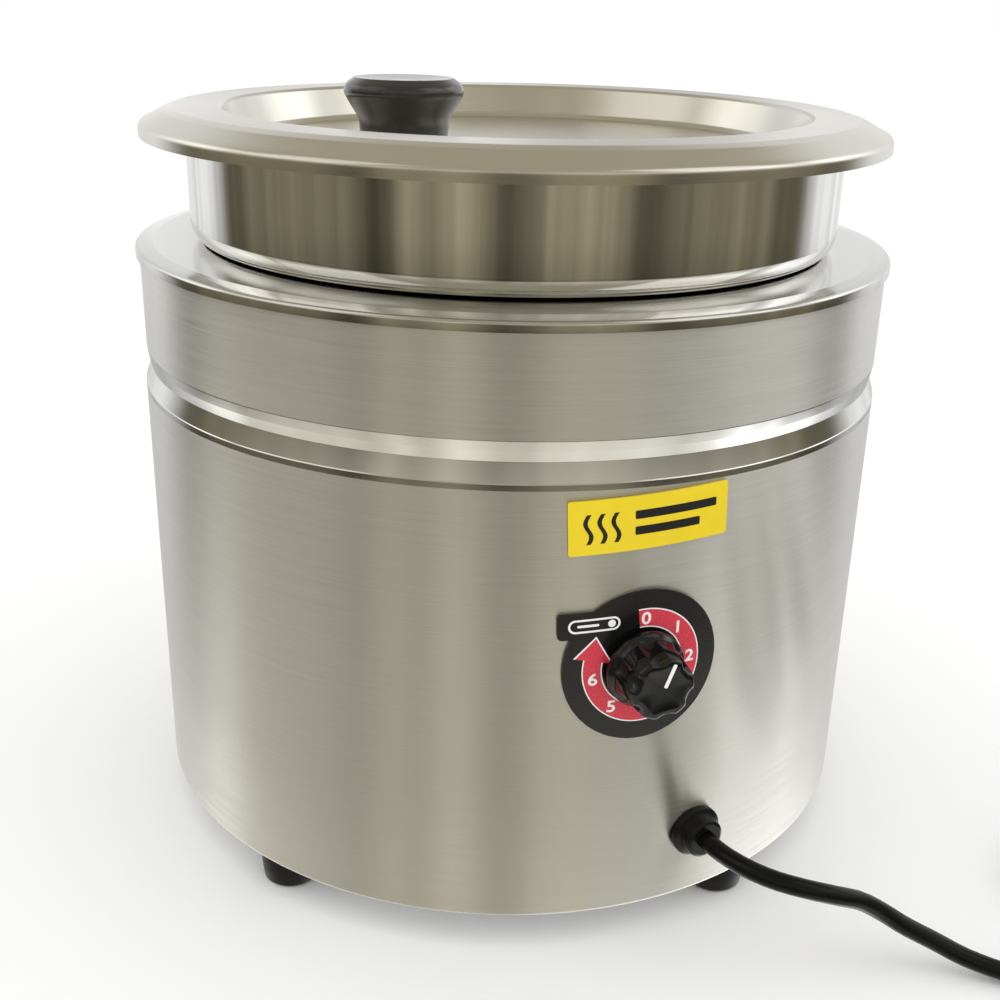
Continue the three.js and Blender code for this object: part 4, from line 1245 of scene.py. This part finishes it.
def make_room():
    """A studio seen only in the metal: flags and panels round the front, white behind."""
    world = bpy.data.worlds.new("studio")
    SCENE.world = world
    world.use_nodes = True
    tree = world.node_tree
    tree.nodes.clear()

    def node(kind, **settings):
        made = tree.nodes.new(kind)
        for name, value in settings.items():
            setattr(made, name, value)
        return made

    def calculate(operation, *values):
        made = node("ShaderNodeMath", operation=operation)
        for socket, value in zip(made.inputs, values):
            if isinstance(value, (int, float)):
                socket.default_value = value
            else:
                tree.links.new(value, socket)
        return made.outputs[0]

    def mix(factor, low, high):
        made = node("ShaderNodeMix", data_type="RGBA")
        for socket, value in zip((made.inputs[0], made.inputs[6], made.inputs[7]), (factor, low, high)):
            if isinstance(value, tuple):
                socket.default_value = (*value, 1.0)
            else:
                tree.links.new(value, socket)
        return made.outputs[2]

    def scaled(tone, amount):
        made = node("ShaderNodeVectorMath", operation="SCALE")
        tree.links.new(tone, made.inputs[0])
        tree.links.new(amount, made.inputs["Scale"])
        return made.outputs[0]

    def step(value, low, high):
        made = node("ShaderNodeMapRange", interpolation_type="SMOOTHSTEP")
        made.inputs["From Min"].default_value = low
        made.inputs["From Max"].default_value = high
        tree.links.new(value, made.inputs["Value"])
        return made.outputs[0]

    split = node("ShaderNodeSeparateXYZ")
    tree.links.new(node("ShaderNodeTexCoord").outputs["Generated"], split.inputs[0])
    x, y, z = split.outputs
    heading = calculate("ARCTAN2", x, calculate("MULTIPLY", y, -1.0))
    turned = calculate("ADD", calculate("DIVIDE", heading, 2 * math.pi), CAMERA_TURN / 360 + 0.5)
    factor = calculate("FRACT", turned)
    low = ramp(tree, factor, ROOM_STOPS)
    high = ramp(tree, factor, UPPER_STOPS)
    streaks = node("ShaderNodeTexNoise", noise_dimensions="1D")
    streaks.inputs["Scale"].default_value = 34.0
    streaks.inputs["Detail"].default_value = 5.0
    tree.links.new(factor, streaks.inputs["W"])
    streak = calculate("ADD", calculate("MULTIPLY", streaks.outputs["Fac"], 1.1), 0.45)
    counter = ramp(tree, factor, FLOOR_STOPS)
    low = scaled(low, calculate("SUBTRACT", 1.0, calculate("MULTIPLY", step(z, -0.14, -0.30), 0.42)))
    tone = mix(step(z, 0.04, 0.42), low, high)
    tone = scaled(mix(step(z, -0.38, -0.58), tone, counter), streak)
    tone = mix(step(z, 0.44, 0.70), tone, (0.40, 0.37, 0.28))
    path = node("ShaderNodeLightPath")
    tone = mix(path.outputs["Is Diffuse Ray"], tone, (1.12, 1.12, 1.12))
    tone = mix(path.outputs["Is Camera Ray"], tone, (1.0, 1.0, 1.0))
    background = node("ShaderNodeBackground")
    tree.links.new(tone, background.inputs["Color"])
    output = node("ShaderNodeOutputWorld")
    tree.links.new(background.outputs[0], output.inputs["Surface"])


def make_floor():
    mesh = bpy.data.meshes.new("floor")
    reach = 12.0
    level = FLOOR_LEVEL * MM - 0.0003
    mesh.from_pydata(
        [(-reach, -reach, level), (reach, -reach, level), (reach, reach, level), (-reach, reach, level)],
        [],
        [(0, 1, 2, 3)],
    )
    floor = bpy.data.objects.new("floor", mesh)
    SCENE.collection.objects.link(floor)
    look = Look("floor_paper", (0.96, 0.96, 0.96), 0.9, Specular_IOR_Level=0.1)
    mesh.materials.append(look.material)
    floor.visible_glossy = False


def area(name, turn, height, distance, size, power, target=(0, 0, 0.2)):
    data = bpy.data.lights.new(name, "AREA")
    data.shape = "RECTANGLE"
    data.size, data.size_y = size
    data.energy = power
    light = bpy.data.objects.new(name, data)
    place = polar(distance, turn - CAMERA_TURN, height)
    light.location = place
    light.rotation_euler = (Vector(target) - place).to_track_quat("-Z", "Y").to_euler()
    SCENE.collection.objects.link(light)
    return light


make_room()
make_floor()
area("soft_left", -70, 1.5, 1.4, (1.2, 1.2), 2)
area("soft_right", 70, 1.5, 1.4, (1.2, 1.2), 3)

SCENE.view_settings.view_transform = "Standard"
